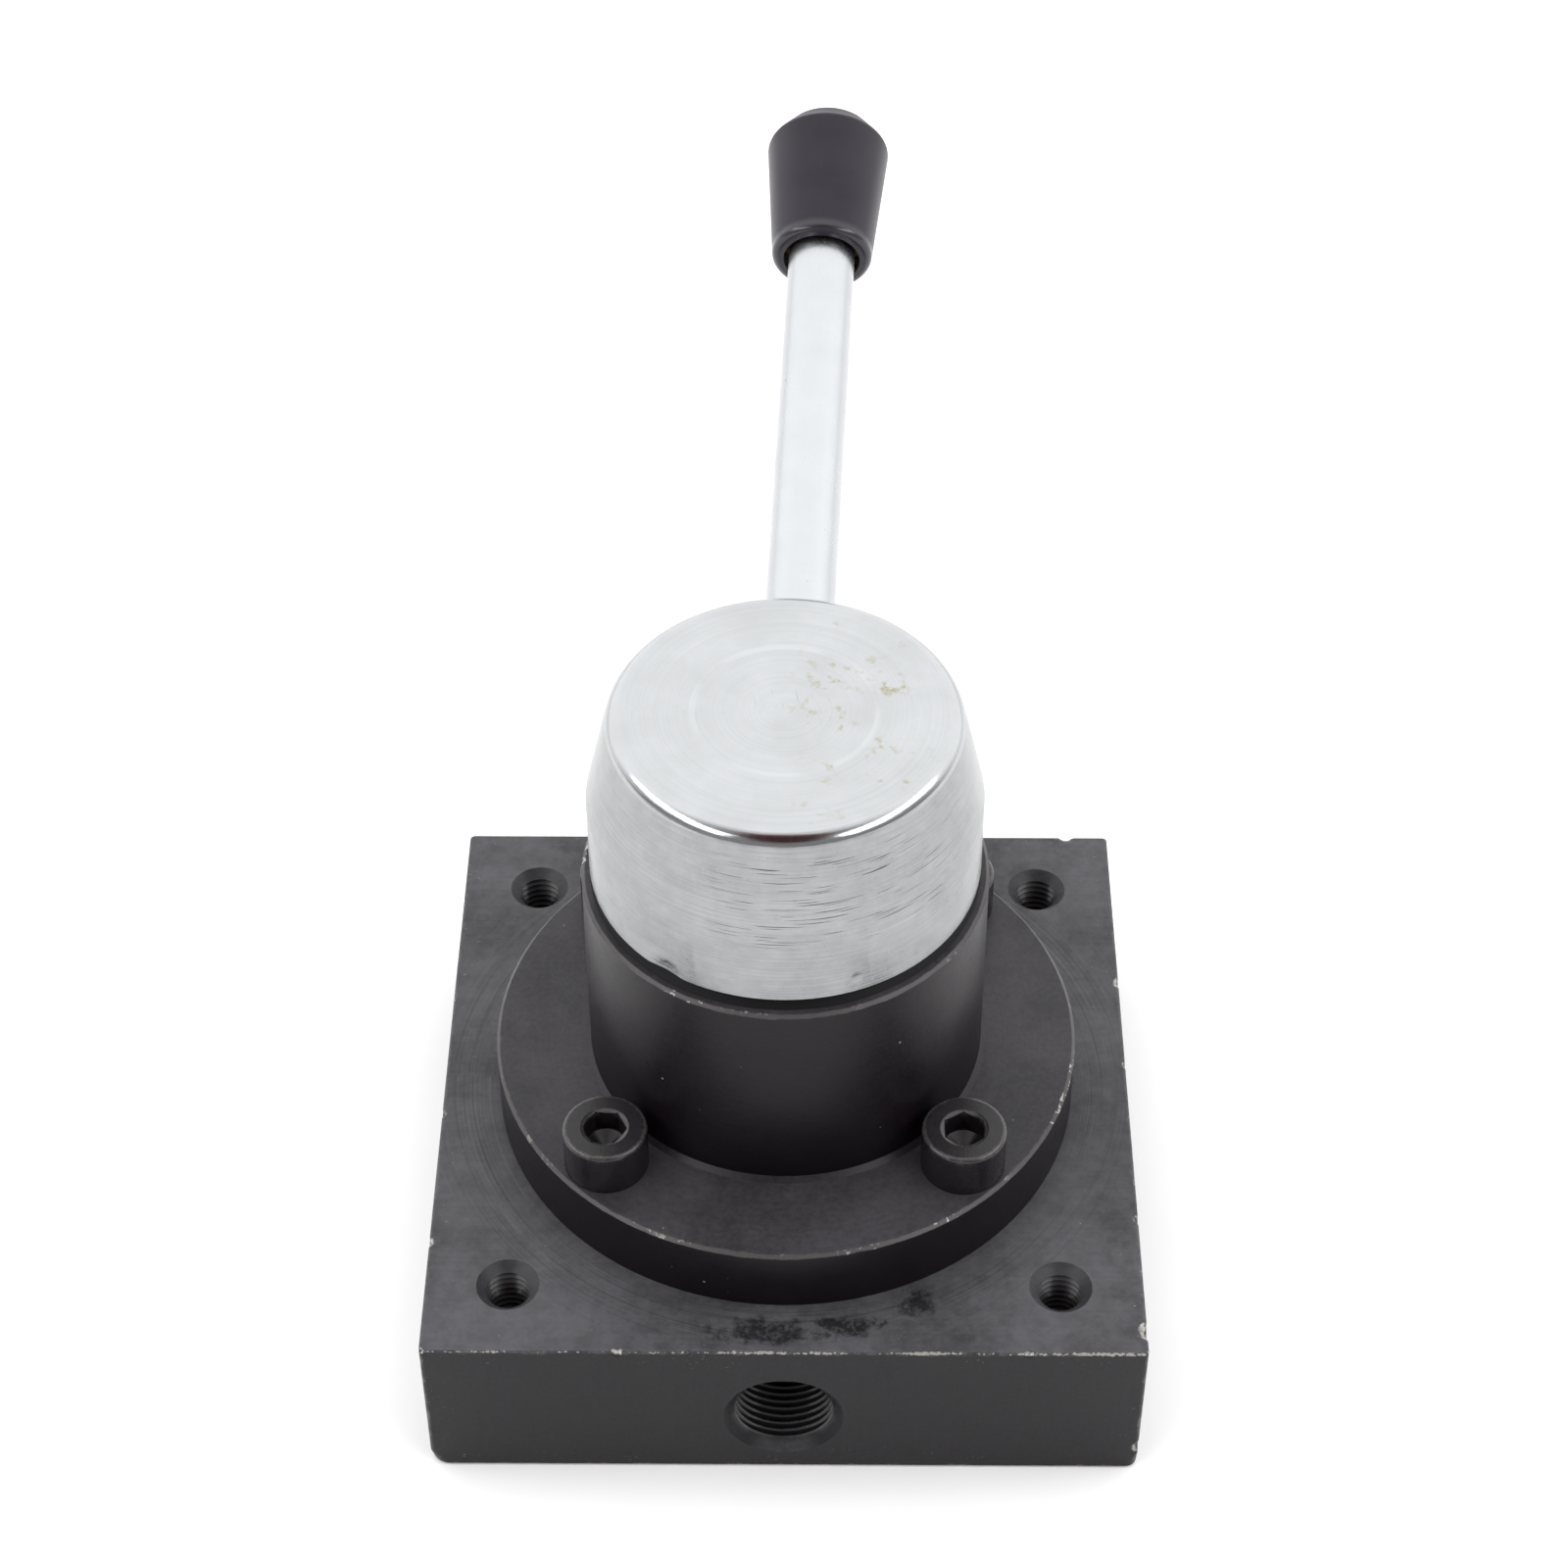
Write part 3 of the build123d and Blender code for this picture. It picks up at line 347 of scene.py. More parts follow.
# %% A piece with knocks
def knocked(node, name, body, knocks, spacing, roughness):
    """Stand a knocked copy in for a CAD node.

    A knock is its middle, radius and push, in millimetres.
    """
    grid = bmesh.new()
    grid.from_mesh(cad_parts[node].data)
    bmesh.ops.remove_doubles(grid, verts=grid.verts, dist=1e-6)
    for middle, radius, push in knocks:
        middle, radius, push = Vector(middle) / 1000, radius / 1000, Vector(push) / 1000
        for _ in range(12):
            coarse = [
                edge for edge in grid.edges
                if edge.calc_length() > spacing / 1000 and gap_to_edge(edge, middle) < radius * 1.2
            ]
            if not coarse:
                break
            bmesh.ops.subdivide_edges(grid, edges=coarse, cuts=1)
            bmesh.ops.triangulate(grid, faces=[face for face in grid.faces if len(face.verts) > 3])
        for vert in grid.verts:
            near = 1 - ((vert.co - middle).length / radius) ** 2
            if near > 0:
                vert.co += push * near ** 2 * (1 + roughness * noise.noise(vert.co * GRAIN_OF_TEAR))
    for edge in grid.edges:
        edge.smooth = edge.calc_face_angle(0.0) < SHARP_ANGLE
    for face in grid.faces:
        face.smooth = True
    mesh = bpy.data.meshes.new(name)
    grid.to_mesh(mesh)
    grid.free()
    made = bpy.data.objects.new(name, mesh)
    bpy.context.scene.collection.objects.link(made)
    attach(made, body)
    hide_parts(node)
    print(name, "has", len(mesh.polygons), "faces")
    return made


print("pieces can be knocked")

# %% [markdown]
# ## Black oxide on the block
#
# The block is milled steel, blackened in a hot salt bath and oiled. The layer
# is thin, so it keeps the mill's lines, and it rubs through to bright steel
# wherever the block has been knocked: first on the edges. The two blacks are
# not the same: the top is painted lighter, grey, as painted light, and the
# sides darker, as painted shade.

# %% Colours of the black pieces
# Painted light on the top and painted shade on the sides: lit and shaded copies of the one oxide.
OXIDE_TOP_PAINTED_LIGHT = srgb(78, 78, 82)
OXIDE_SIDE_PAINTED_SHADE = srgb(22, 19, 23)
OXIDE_DARK = srgb(18, 17, 19)
BARE_STEEL = srgb(176, 174, 168)
RUBBED = srgb(104, 102, 100)
WIPED = srgb(104, 106, 104)
# The thread crests' colour: partly bare steel, partly a painted glint.
THREAD_CREST_WEAR_AND_GLINT = srgb(120, 120, 124)
DUST = srgb(176, 168, 140)
OIL = srgb(10, 9, 10)
print("black oxide reflects", [round(part, 3) for part in OXIDE_SIDE_PAINTED_SHADE], "on the sides")

# %% [markdown]
# The knocks come from one short list, so the dents in the mesh and the bright
# steel in the finish sit in the same places. Each has a point on an edge and a
# size. The blots are where a drop of oil has dried: an ellipse whose rim is
# pushed in and out by noise.

# %% Chips and blots
CHIPS = [
    ((body_half, -50.5, body_top), 1.6),
    ((body_half, -29.0, body_top), 0.9),
    ((body_half, 3.0, body_top), 0.8),
    ((body_half, 21.0, body_top), 1.1),
    ((48.0, body_half, body_top), 1.2),
    ((-25.0, -body_half, body_top), 0.9),
    ((37.0, -body_half, body_top), 0.8),
    ((-body_half, -34.0, body_top), 0.9),
    ((-body_half, -8.0, body_top), 0.8),
    ((body_half, -body_half, 5.0), 1.3),
    ((-body_half, -body_half, body_top), 1.0),
]
OIL_BLOTS = [((-3.0, -51.0), (9.0, 2.6)), ((9.0, -50.0), (6.0, 2.2)), ((20.0, -45.5), (3.2, 2.6))]


def chip(finish, at, size, ragged):
    """1 inside a ragged chip round a point on an edge."""
    away = finish.node(
        "ShaderNodeVectorMath", {"operation": "DISTANCE"}, [finish.place, at], out="Value"
    )
    return (away / size + (ragged - 0.5) * 1.6).rise(1.0, 0.7)


def blot(finish, at, size, ragged):
    """1 inside a ragged blot on the top of the block, centred on a point."""
    far_x = (finish.x - at[0]) / size[0]
    far_y = (finish.y - at[1]) / size[1]
    return ((far_x * far_x + far_y * far_y) ** 0.5 + (ragged - 0.5) * 3.0).rise(1.15, 0.35)


print(len(CHIPS), "chips and", len(OIL_BLOTS), "blots")

# %% [markdown]
# The cutter left two kinds of lines: upright ones on the four sides and
# crosswise ones on the top, where they are fainter. Round the bonnet the top
# is scuffed in arcs, because the bonnet has been turned on it and wiped round
# it. Both are noise drawn out along the cut. Scratches run in from the edges.

# %% Lines and scuffs on the block
def cutter_lines(finish, top):
    x, y, z = finish.x, finish.y, finish.z
    return marks(finish, z, x + y, 30.0, 0.32) * (1 - top) + marks(finish, x, y, 60.0, 0.6) * top


def round_scuffs(finish, top):
    """Wiped arcs and finer dark grooves on the top, just outside the flange."""
    radius, angle = finish.from_axis(), finish.angle()
    zone = radius.rise(flange_r, flange_r + 1.5) * radius.rise(flange_r + 17.0, flange_r + 3.0)
    scuffs = marks(finish, angle, radius, 1.1, 0.40, 3.0).rise(0.50, 0.72) * zone * top
    scuffs = scuffs * patches(finish, 15.0, 2.0, (40.0, 0.0, 0.0)).rise(0.38, 0.58)
    grooves = marks(finish, angle, radius, 1.1, 0.35).rise(0.56, 0.66) * zone * top
    return scuffs, grooves


def edge_scratches(finish, edge):
    """Thin scratches near an edge; edge is the distance to the nearest one."""
    x, y, z = finish.x, finish.y, finish.z
    lines = marks(finish, x, y * 0.6 + z, 0.9, 0.16, 1.0).rise(0.70, 0.76) * edge.rise(7.0, 0.5)
    return lines * patches(finish, 6.0, 1.0, (3.0, 3.0, 60.0)).rise(0.52, 0.6)


print("lines and scuffs ready")

# %% [markdown]
# The walls of the tapped holes and of the ports are painted nearly black:
# partly oil, which stays longest where no rag reaches and gets a clear coat to
# shine, and partly painted shade in the hollows. The crests of their threads
# are painted lighter, partly bare steel and partly a painted glint. The holes
# stand upright in the top and the ports lie level in the sides. Distances from
# their axes tell where the threads are, and a depth below the face keeps the
# rims dry.

# %% Oiled threads, with painted shade in the bores and painted glints on the crests
HOLE_AT = 42.3
PORT_HEIGHT = 12.8


def thread_oil_shade_and_glints(finish, top):
    """1 on the walls of the holes and ports, and 1 on the crests of their threads."""
    x, y, z = finish.x, finish.y, finish.z
    hole_x, hole_y = abs(x) - HOLE_AT, abs(y) - HOLE_AT
    hole = (hole_x * hole_x + hole_y * hole_y) ** 0.5
    up = z - PORT_HEIGHT
    port = ((x * x).least(y * y) + up * up) ** 0.5
    below_top = z.rise(body_top - 1.2, body_top - 1.9)
    behind_side = (body_half - abs(x).most(abs(y))).rise(0.8, 1.8)
    oil_and_bore_shade = (hole.rise(5.0, 4.7) * below_top).most(port.rise(8.9, 8.5) * behind_side) * (1 - top)
    crest_wear_and_glints = hole.rise(3.75, 3.5).most(port.rise(7.8, 7.55) * (1 - top))
    return oil_and_bore_shade, crest_wear_and_glints * oil_and_bore_shade


print("holes stand", HOLE_AT, "from the middle, ports lie", PORT_HEIGHT, "up")

# %% [markdown]
# A painted-on mask of the edges would need an image, so the distance to the
# nearest edge is worked out instead. Each face lies on one side of a box, so
# of the three gaps to the box's sides the middle one is the distance to the
# nearest edge. Where it is small the oxide is worn: dots of bare steel along
# the front edge, fewer elsewhere, a chip at each knock, and a dim rubbed band.

# %% Worn edges
def edge_distance(finish):
    gap_z = finish.z.least(body_top - finish.z)
    return median(body_half - abs(finish.x), body_half - abs(finish.y), gap_z)


def worn_edges(finish, edge, ragged, fine):
    """1 on bare steel, and a fainter mask where the oxide is only rubbed."""
    dots = patches(finish, 0.55, 2.0, (11.0, 3.0, 8.0))
    luck = patches(finish, 9.0, 1.0, (0.0, 30.0, 9.0))
    upper = finish.z.rise(body_top - 1.2, body_top - 0.7)
    front = finish.y.rise(1.4 - body_half, 0.6 - body_half) * upper
    reach = (dots - 0.5) * 0.9 + (luck - 0.5) * 0.7 + front * (0.17 + finish.x * 0.0012) - 0.04
    bare = (edge - reach).rise(0.07, -0.05)
    for at, size in CHIPS:
        bare = bare.most(chip(finish, at, size, fine) * edge.rise(size, size * 0.4))
    rubbed = (edge - (ragged - 0.40) * 2.6).rise(0.25, -0.3) * (0.28 + 0.30 * (1 - upper))
    return bare, rubbed


print("worn edges ready")

# %% [markdown]
# Now the block's finish is a stack: oxide painted lighter on top and darker on
# the sides (painted light and painted shade), cloudy and lined, then oil, which
# also darkens the holes and ports as painted shade, then whatever has rubbed
# through it, then dust. The oil also gets a clear coat, which is what makes the
# threads glint, and the thread crests are painted lighter, partly bare steel and
# partly a painted glint.

# %% The block's finish
def block_finish():
    finish = Finish("black_oxide_block")
    top = finish.up.rise(0.5, 0.9)
    cloud = patches(finish, 24.0, 4.0)
    grain = patches(finish, 0.9, 3.0, (5.0, 9.0, 2.0))
    ragged = patches(finish, 2.2, 4.0, (1.0, 7.0, 3.0))
    fine = patches(finish, 0.7, 3.0, (9.0, 1.0, 5.0))
    mottle = patches(finish, 3.2, 5.0, (15.0, 2.0, 30.0))

    mill = cutter_lines(finish, top)
    scuffs, grooves = round_scuffs(finish, top)
    edge = edge_distance(finish)
    scratches = edge_scratches(finish, edge)
    bare, rubbed = worn_edges(finish, edge, ragged, fine)
    oil_and_bore_shade, crest_wear_and_glints = thread_oil_shade_and_glints(finish, top)
    blots = 0.0
    for at, size in OIL_BLOTS:
        blots = blot(finish, at, size, ragged).most(blots)
    blots = blots * top * (0.45 + 0.55 * fine.rise(0.38, 0.52))
    dust = specks(finish, 7.0, 0.20, 0.22).most(specks(finish, 2.3, 0.07, 0.14))

    shade = cloud.rise(0.36, 0.62) * 0.42 + mottle.rise(0.34, 0.64) * 0.26
    shade = shade + grain.rise(0.3, 0.7) * 0.16
    # top * 0.17 keeps the top lighter still, and the top colour below is lighter than the sides:
    # painted light on the top, painted shade on the sides.
    shade = shade + mill.rise(0.30, 0.70) * (0.50 - top * 0.42) + top * 0.17
    colour = finish.blend(top, OXIDE_SIDE_PAINTED_SHADE, OXIDE_TOP_PAINTED_LIGHT)
    colour = finish.blend((1.0 - shade).most(0.0) * 0.85, colour, OXIDE_DARK)
    # Painted shade: the walls of the holes and ports darkened to near black, partly oil.
    colour = finish.blend(oil_and_bore_shade * 0.9, colour, OIL)
    # Painted glint: the thread crests lightened, partly bare steel.
    colour = finish.blend(crest_wear_and_glints * 0.22, colour, THREAD_CREST_WEAR_AND_GLINT)
    colour = finish.blend(scuffs * 0.30, colour, WIPED)
    colour = finish.blend(grooves * 0.35, colour, OIL)
    colour = finish.blend(blots * 0.85, colour, OIL)
    colour = finish.blend(rubbed, colour, RUBBED)
    colour = finish.blend((bare * 0.9 + scratches * 0.4).least(1.0), colour, BARE_STEEL)
    colour = finish.blend(dust * 0.5, colour, DUST)

    rough = 0.45 + (grain - 0.5) * 0.20 + (cloud - 0.5) * 0.16 - scuffs * 0.08 - blots * 0.10
    height = mill * (0.55 - top * 0.35) + grain * 0.25
    height = height - scratches * 0.6 - bare * 0.6 + scuffs * 0.3
    return surface(finish, colour, rough.most(0.2), bare * 0.6, height, 0.035, oil_and_bore_shade * 0.65,
                   specular=0.25)


block_oxide = block_finish()
print("the block's finish has", len(block_oxide.node_tree.nodes), "nodes")

# %% [markdown]
# The dents follow the list of chips. Each is pushed away from the faces that
# meet at its edge, a third of its size deep, and a little wider than the
# bright mark, so that the steel shows in the bottom of the dent.

# %% The knocked block
def inward(middle, depth):
    """A push from an edge towards the middle of the block."""
    def push(place):
        return -math.copysign(depth, place) if abs(place) > body_half - 1 else 0.0

    x, y, z = middle
    return (push(x), push(y), -depth if z > body_top - 1 else 0.0)


block_knocks = [(middle, size * 1.25, inward(middle, size * 0.34)) for middle, size in CHIPS]
block = knocked(
    "valve_body", "knocked_block", "housing", block_knocks,
    spacing=0.35, roughness=0.7,
)
block.data.materials.append(block_oxide)
print("block finished with", len(block_knocks), "knocks")

# %% [markdown]
# ## Black oxide on the bonnet
#
# The bonnet is turned on a lathe, so its lines run round the axis: circles on
# the flange, rings on the tube. Its upper face is a little darker and smoother
# than the block's, and painted much lighter than its sides: painted light on
# the upper face and painted shade on the sides. The two outer corners, of the
# flange and of the rim under the cap, are thinly rubbed, with a bright dot here
# and there.

# %% Worn rings
def gap_to_ring(finish, ring_r, ring_z):
    """The distance from a circle round the axis."""
    far_r, far_z = finish.from_axis() - ring_r, finish.z - ring_z
    return (far_r * far_r + far_z * far_z) ** 0.5


def worn_rings(finish):
    """A thin rubbed line on both outer corners, and rare dots of bare steel on it."""
    into_corner = 0.25
    flange_edge = gap_to_ring(finish, flange_r - into_corner, flange_top - into_corner)
    rim_edge = gap_to_ring(finish, tube_r - into_corner, rim_z - into_corner)
    ragged = patches(finish, 2.6, 4.0, (1.0, 7.0, 3.0))
    dots = patches(finish, 1.0, 2.0, (2.0, 3.0, 8.0))
    luck = patches(finish, 12.0, 1.0, (0.0, 30.0, 9.0)).rise(0.50, 0.66)
    worn = (flange_edge - ragged * 0.75).rise(0.15, -0.15)
    worn = worn.most((rim_edge - ragged * 0.7).rise(0.15, -0.15))
    bare = (flange_edge - dots * 0.62).rise(0.05, -0.05)
    bare = bare.most((rim_edge - dots * 0.70).rise(0.05, -0.06))
    return worn, bare * luck * dots.rise(0.55, 0.63)


print("flange top at", round(flange_top, 2), "tube radius", round(tube_r, 2))

# %% The bonnet's finish
def bonnet_finish():
    finish = Finish("black_oxide_bonnet")
    z, radius, angle = finish.z, finish.from_axis(), finish.angle()
    top = finish.up.rise(0.5, 0.9)
    cloud = patches(finish, 16.0, 4.0)
    grain = patches(finish, 0.8, 3.0, (5.0, 9.0, 2.0))
    turning = marks(finish, angle, radius * top + z * (1 - top), 2.5, 0.35)
    streaks = marks(finish, z, angle, 26.0, 0.10)
    worn, bare = worn_rings(finish)
    dust = specks(finish, 6.0, 0.20, 0.22).most(specks(finish, 2.1, 0.07, 0.12))
    shade = cloud.rise(0.36, 0.64) * 0.42 + grain.rise(0.3, 0.7) * 0.26 + turning * 0.3
    shade = shade + (streaks - 0.5) * (1 - top) * 0.3
    # Painted light on the upper faces and painted shade on the sides: lighter and darker copies of
    # the one oxide.
    colour = finish.blend(top, srgb(21, 15, 20), srgb(68, 66, 70))
    colour = finish.blend((1.0 - shade) * 0.7, colour, srgb(14, 12, 14))
    colour = finish.blend(worn * 0.36, colour, RUBBED)
    colour = finish.blend(bare * 0.85, colour, BARE_STEEL)
    colour = finish.blend(dust * 0.5, colour, DUST)
    rough = 0.34 + (grain - 0.5) * 0.16 + (cloud - 0.5) * 0.18 + top * 0.08
    height = turning * 0.5 + grain * 0.3 - bare * 0.4
    return surface(finish, colour, rough.most(0.18), bare * 0.7, height, 0.03, specular=0.21)


wear("bonnet", bonnet_finish())
print("bonnet finished")

# %% [markdown]
# ## The bonnet's screws
#
# The screws are bought parts: rolled, heat treated and blackened, smoother
# than the block. A hexagon key has rubbed the mouth of each socket, and the
# rounded shoulder of each head is painted lighter: partly rubbed, partly a
# painted highlight where it catches the light.

# %% The screws' finish
HEAD_R = 6.5
SHOULDER_R = 6.15
SOCKET_R = 3.4


def screw_finish():
    finish = Finish("black_oxide_screws")
    middle = head_far - HEAD_R
    away_x, away_y = abs(finish.x) - middle, abs(finish.y) - middle
    from_middle = (away_x * away_x + away_y * away_y) ** 0.5
    rubs = patches(finish, 1.1, 3.0)
    grain = patches(finish, 0.6, 3.0, (4.0, 2.0, 0.0))
    top = finish.z.rise(head_top - 1.6, head_top - 0.4)
    shoulder_rub_and_highlight = (abs(from_middle - SHOULDER_R) - rubs * 0.5).rise(0.15, -0.2) * top
    mouth = (abs(from_middle - SOCKET_R) - rubs * 0.4).rise(0.12, -0.2) * top
    worn = (shoulder_rub_and_highlight * 0.30).most(mouth * 0.25)
    turning = marks(finish, finish.z, away_y.math("ARCTAN2", away_x), 9.0, 0.05)
    colour = finish.blend(rubs, srgb(14, 12, 14), srgb(34, 31, 34))
    # Painted highlight on each head's shoulder, partly rubbed; the socket mouth is rubbed by the
    # key.
    colour = finish.blend(worn, colour, srgb(120, 118, 116))
    colour = finish.blend(specks(finish, 3.5, 0.12, 0.15) * 0.5, colour, DUST)
    rough = 0.24 + (grain - 0.5) * 0.14 + worn * 0.1
    return surface(finish, colour, rough, worn, grain * 0.6 + turning * 0.4, 0.02, specular=0.4)


wear("bonnet_screws", screw_finish())
print("screws finished")

# %% [markdown]
# ## Zinc on the cap
#
# The cap is turned from bar and plated with bright zinc. The plating is
# silvery, not mirror-like: it follows every ring that the lathe left on the
# disc, and the torn lines that a blunt tool left on the cone. A little of the
# yellow passivating bath has dried on one half of the disc.

# %% Colours of the zinc
ZINC = srgb(182, 184, 186)
# Painted shade: the cone's colour, darker than the disc's.
ZINC_PAINTED_SHADE = srgb(140, 141, 141)
ZINC_DARK = srgb(66, 60, 60)
# Painted highlight: the lighter colour of the two paused rings on the disc.
ZINC_PAINTED_GLEAM = srgb(214, 216, 218)
LATHE_LINE = srgb(120, 122, 124)
SCRATCHED = srgb(110, 108, 104)
PIT = srgb(96, 92, 84)
STAIN = srgb(150, 140, 96)
print("zinc reflects", [round(part, 2) for part in ZINC])

# %% [markdown]
# The lathe left two sets of lines. On the disc they are rings, two of them
# deeper than the rest, where the tool paused. On the cone the tool tore the
# steel, so the front of it carries short dark tears. The angle round the axis
# keeps the tears to the front and right, and the height keeps them off the
# rounded edge and the foot.

# %% Rings and tears
def paused_rings(finish):
    """Two broken rings on the disc."""
    radius = finish.from_axis()

    def ring(at, width):
        return abs(radius - at).rise(width, width * 0.3)

    broken = patches(finish, 11.0, 1.0, (6.0, 0.0, 0.0)).rise(0.36, 0.60)
    return (ring(13.6, 0.7) * 0.7 + ring(19.8, 0.5) * 0.3) * broken


def tears(finish, side):
    angle, z = finish.angle(), finish.z
    torn = marks(finish, angle, z, 0.30, 0.22, 0.6).rise(0.65, 0.72)
    front = abs(angle + 1.22).rise(0.85, 0.50)
    torn = torn * side * front * z.rise(cap_low + 10.0, cap_low + 12.5)
    return torn * z.rise(cap_high - 3.0, cap_high - 5.5)


print("cap from", round(cap_low, 2), "to", round(cap_high, 2))

# %% [markdown]
# The stains are dried drops of the yellow bath: cloudy spots, kept to one half
# of the disc by x and thinned out by a slower noise. One scratch crosses the
# middle, and tiny pits lie everywhere, more of them on the cone.

# %% Stains and scratches
def bath_stains(finish, top):
    spots = patches(finish, 2.2, 4.0, (8.0, 1.0, 4.0)).rise(0.54, 0.68)
    thinned = patches(finish, 8.0, 1.0, (0.0, 5.0, 1.0)).rise(0.44, 0.60)
    return spots * top * finish.x.rise(-3.0, 9.0) * thinned


def middle_scratch(finish, top):
    x, y = finish.x, finish.y
    lines = marks(finish, y, x + y * 0.2, 9.0, 0.30, 1.0).rise(0.68, 0.74)
    return lines * top * finish.from_axis().rise(7.0, 2.0)


print("stains and scratches ready")

# %% [markdown]
# A bright metal gets its looks from what it reflects, yet the cone is painted
# quite a bit darker than the disc: painted shade on the cone. Beyond that the
# relief shows. The rounded edge between disc and cone is the smoothest part,
# because the plating is thickest there.

# %% The cap's finish
def cap_finish():
    finish = Finish("zinc_cap")
    z, radius, angle = finish.z, finish.from_axis(), finish.angle()
    top = finish.up.rise(0.9, 0.99)
    side = finish.up.rise(0.45, 0.25)
    rounded = finish.up.rise(0.30, 0.45) * finish.up.rise(0.99, 0.94)

    cloud = patches(finish, 9.0, 4.0)
    grain = patches(finish, 0.7, 3.0, (5.0, 9.0, 2.0))
    mottle = patches(finish, 2.6, 5.0, (15.0, 2.0, 30.0))
    rings = marks(finish, angle, radius, 3.0, 0.28, 2.0)
    broad = marks(finish, angle, radius, 6.0, 1.3, 1.0)
    fine = marks(finish, angle, z, 0.6, 0.32, 3.0)
    ripple = marks(finish, z, angle, 14.0, 0.05, 1.0)

    paused = paused_rings(finish)
    torn = tears(finish, side)
    stain = bath_stains(finish, top)
    scratch = middle_scratch(finish, top)
    pits = specks(finish, 2.4, 0.10, 0.14) * (0.35 + 0.65 * side)

    # side * 0.48 is painted shade, the cone darker than the disc; the noise terms are random tone.
    veil_and_cone_shade = mottle.rise(0.30, 0.70) * side * 0.16 + cloud.rise(0.2, 0.8) * 0.24 + side * 0.48
    lines = rings.rise(0.40, 0.70) * top * 0.8 + fine.rise(0.35, 0.70) * side * 2.4
    colour = finish.blend(veil_and_cone_shade.least(1.0), ZINC, ZINC_PAINTED_SHADE)
    colour = finish.blend(lines * 0.12, colour, LATHE_LINE)
    # Painted highlight: the two paused rings lightened on the disc; their relief is real.
    colour = finish.blend(paused * top * 0.22, colour, ZINC_PAINTED_GLEAM)
    colour = finish.blend(scratch * 0.6, colour, SCRATCHED)
    colour = finish.blend(torn * 0.85, colour, ZINC_DARK)
    colour = finish.blend(stain * 0.6, colour, STAIN)
    colour = finish.blend(pits * 0.6, colour, PIT)

    rough = 0.26 - rounded * 0.10 + top * 0.10 + stain * 0.2 + torn * 0.2
    rough = rough + (cloud - 0.5) * 0.05 + (grain - 0.5) * 0.08
    height = (rings * 0.4 + broad * 0.3 + paused * 0.5) * top
    height = height + (fine * 0.9 + ripple * 0.25) * (1 - top) + (mottle - 0.5) * side * 1.6
    height = height + grain * 0.2 - torn * 0.9 - pits * 0.6 - scratch * 0.8
    return surface(finish, colour, rough.most(0.12), 1.0, height, 0.020)


cap_zinc = cap_finish()
print("the cap's finish has", len(cap_zinc.node_tree.nodes), "nodes")

# %% [markdown]
# The cap's lower edge has been struck at the front left, where it is bent in.
# The knocks are placed by an angle round the axis and a height, and pushed in
# by a fraction of a millimetre, so the light bends over them.

# %% The knocked cap
def on_cap(degrees, z, radius):
    """A point at an angle round the axis, counted from the right."""
    turn = math.radians(degrees)
    return (radius * math.cos(turn), radius * math.sin(turn), z)


cap_knocks = [
    (on_cap(-126.0, cap_low + 0.2, cap_r), 3.6, on_cap(-126.0, 0.12, -0.30)),
    (on_cap(-130.0, cap_low + 4.2, cap_r), 2.8, on_cap(-130.0, 0.0, -0.12)),
    (on_cap(-69.0, cap_low + 3.2, cap_r), 1.2, on_cap(-69.0, 0.0, -0.07)),
]
cap = knocked(
    "cap", "knocked_cap", "handle", cap_knocks,
    spacing=0.40, roughness=0.12,
)
cap.data.materials.append(cap_zinc)
print("cap finished with", len(cap_knocks), "knocks")

# %% [markdown]
# ## Zinc on the lever
#
# The rod is drawn bar, so it is smoother than the cap, with faint lines along
# its length and a scatter of tiny pits. To have lines along a tilted rod, the
# finish first works out how far along the rod each point lies and how far
# round it. The rod's direction comes from the middle of the knob.

# %% The lever's line
LEVER_RISE = math.radians(15.2)
knob_low, knob_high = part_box("knob_insert")
knob_middle = (knob_low + knob_high) / 2
lever_flat = Vector((knob_middle.x, knob_middle.y, 0)).normalized()
lever_line = lever_flat * math.cos(LEVER_RISE) + Vector((0, 0, math.sin(LEVER_RISE)))
lever_start = knob_middle - lever_line * (knob_middle.to_2d().length / math.cos(LEVER_RISE))
lever_side = lever_line.cross(Vector((0, 0, 1))).normalized()
lever_up = lever_side.cross(lever_line)
print("lever starts at", [round(part * 1000, 2) for part in lever_start])


def along_lever(finish):
    """How far along the lever a point lies, in millimetres, and the angle round it."""
    def component(direction):
        dot = finish.node(
            "ShaderNodeVectorMath", {"operation": "DOT_PRODUCT"},
            [finish.place, tuple(direction)], out="Value",
        )
        return dot - lever_start.dot(direction) * 1000

    return component(lever_line), component(lever_up).math("ARCTAN2", component(lever_side))


print("lever points along", [round(part, 3) for part in lever_line])

# %% The lever's finish
def rod_finish():
    finish = Finish("zinc_lever")
    along, round_it = along_lever(finish)
    cloud = patches(finish, 6.0, 3.0)
    grain = patches(finish, 0.6, 3.0, (5.0, 9.0, 2.0))
    drawn = marks(finish, along, round_it, 30.0, 0.12, 2.0)
    pits = specks(finish, 3.2, 0.16, 0.22).most(specks(finish, 1.4, 0.06, 0.10))
    colour = finish.blend(cloud * 0.5, srgb(192, 194, 196), srgb(176, 179, 182))
    colour = finish.blend(pits * 0.7, colour, srgb(90, 86, 80))
    rough = 0.30 + (cloud - 0.5) * 0.16 + (grain - 0.5) * 0.12
    return surface(finish, colour, rough, 1.0, drawn * 0.5 + grain * 0.35 - pits * 0.7, 0.018)


wear("lever_rod", rod_finish())
print("lever finished")

# %% [markdown]
# ## The knob
#
# The knob is moulded in black thermoset, tumbled to a satin skin. Its far end
# has been handled most, so it is scuffed and a little duller there. The mouth
# that the rod goes into keeps the gloss of the mould.

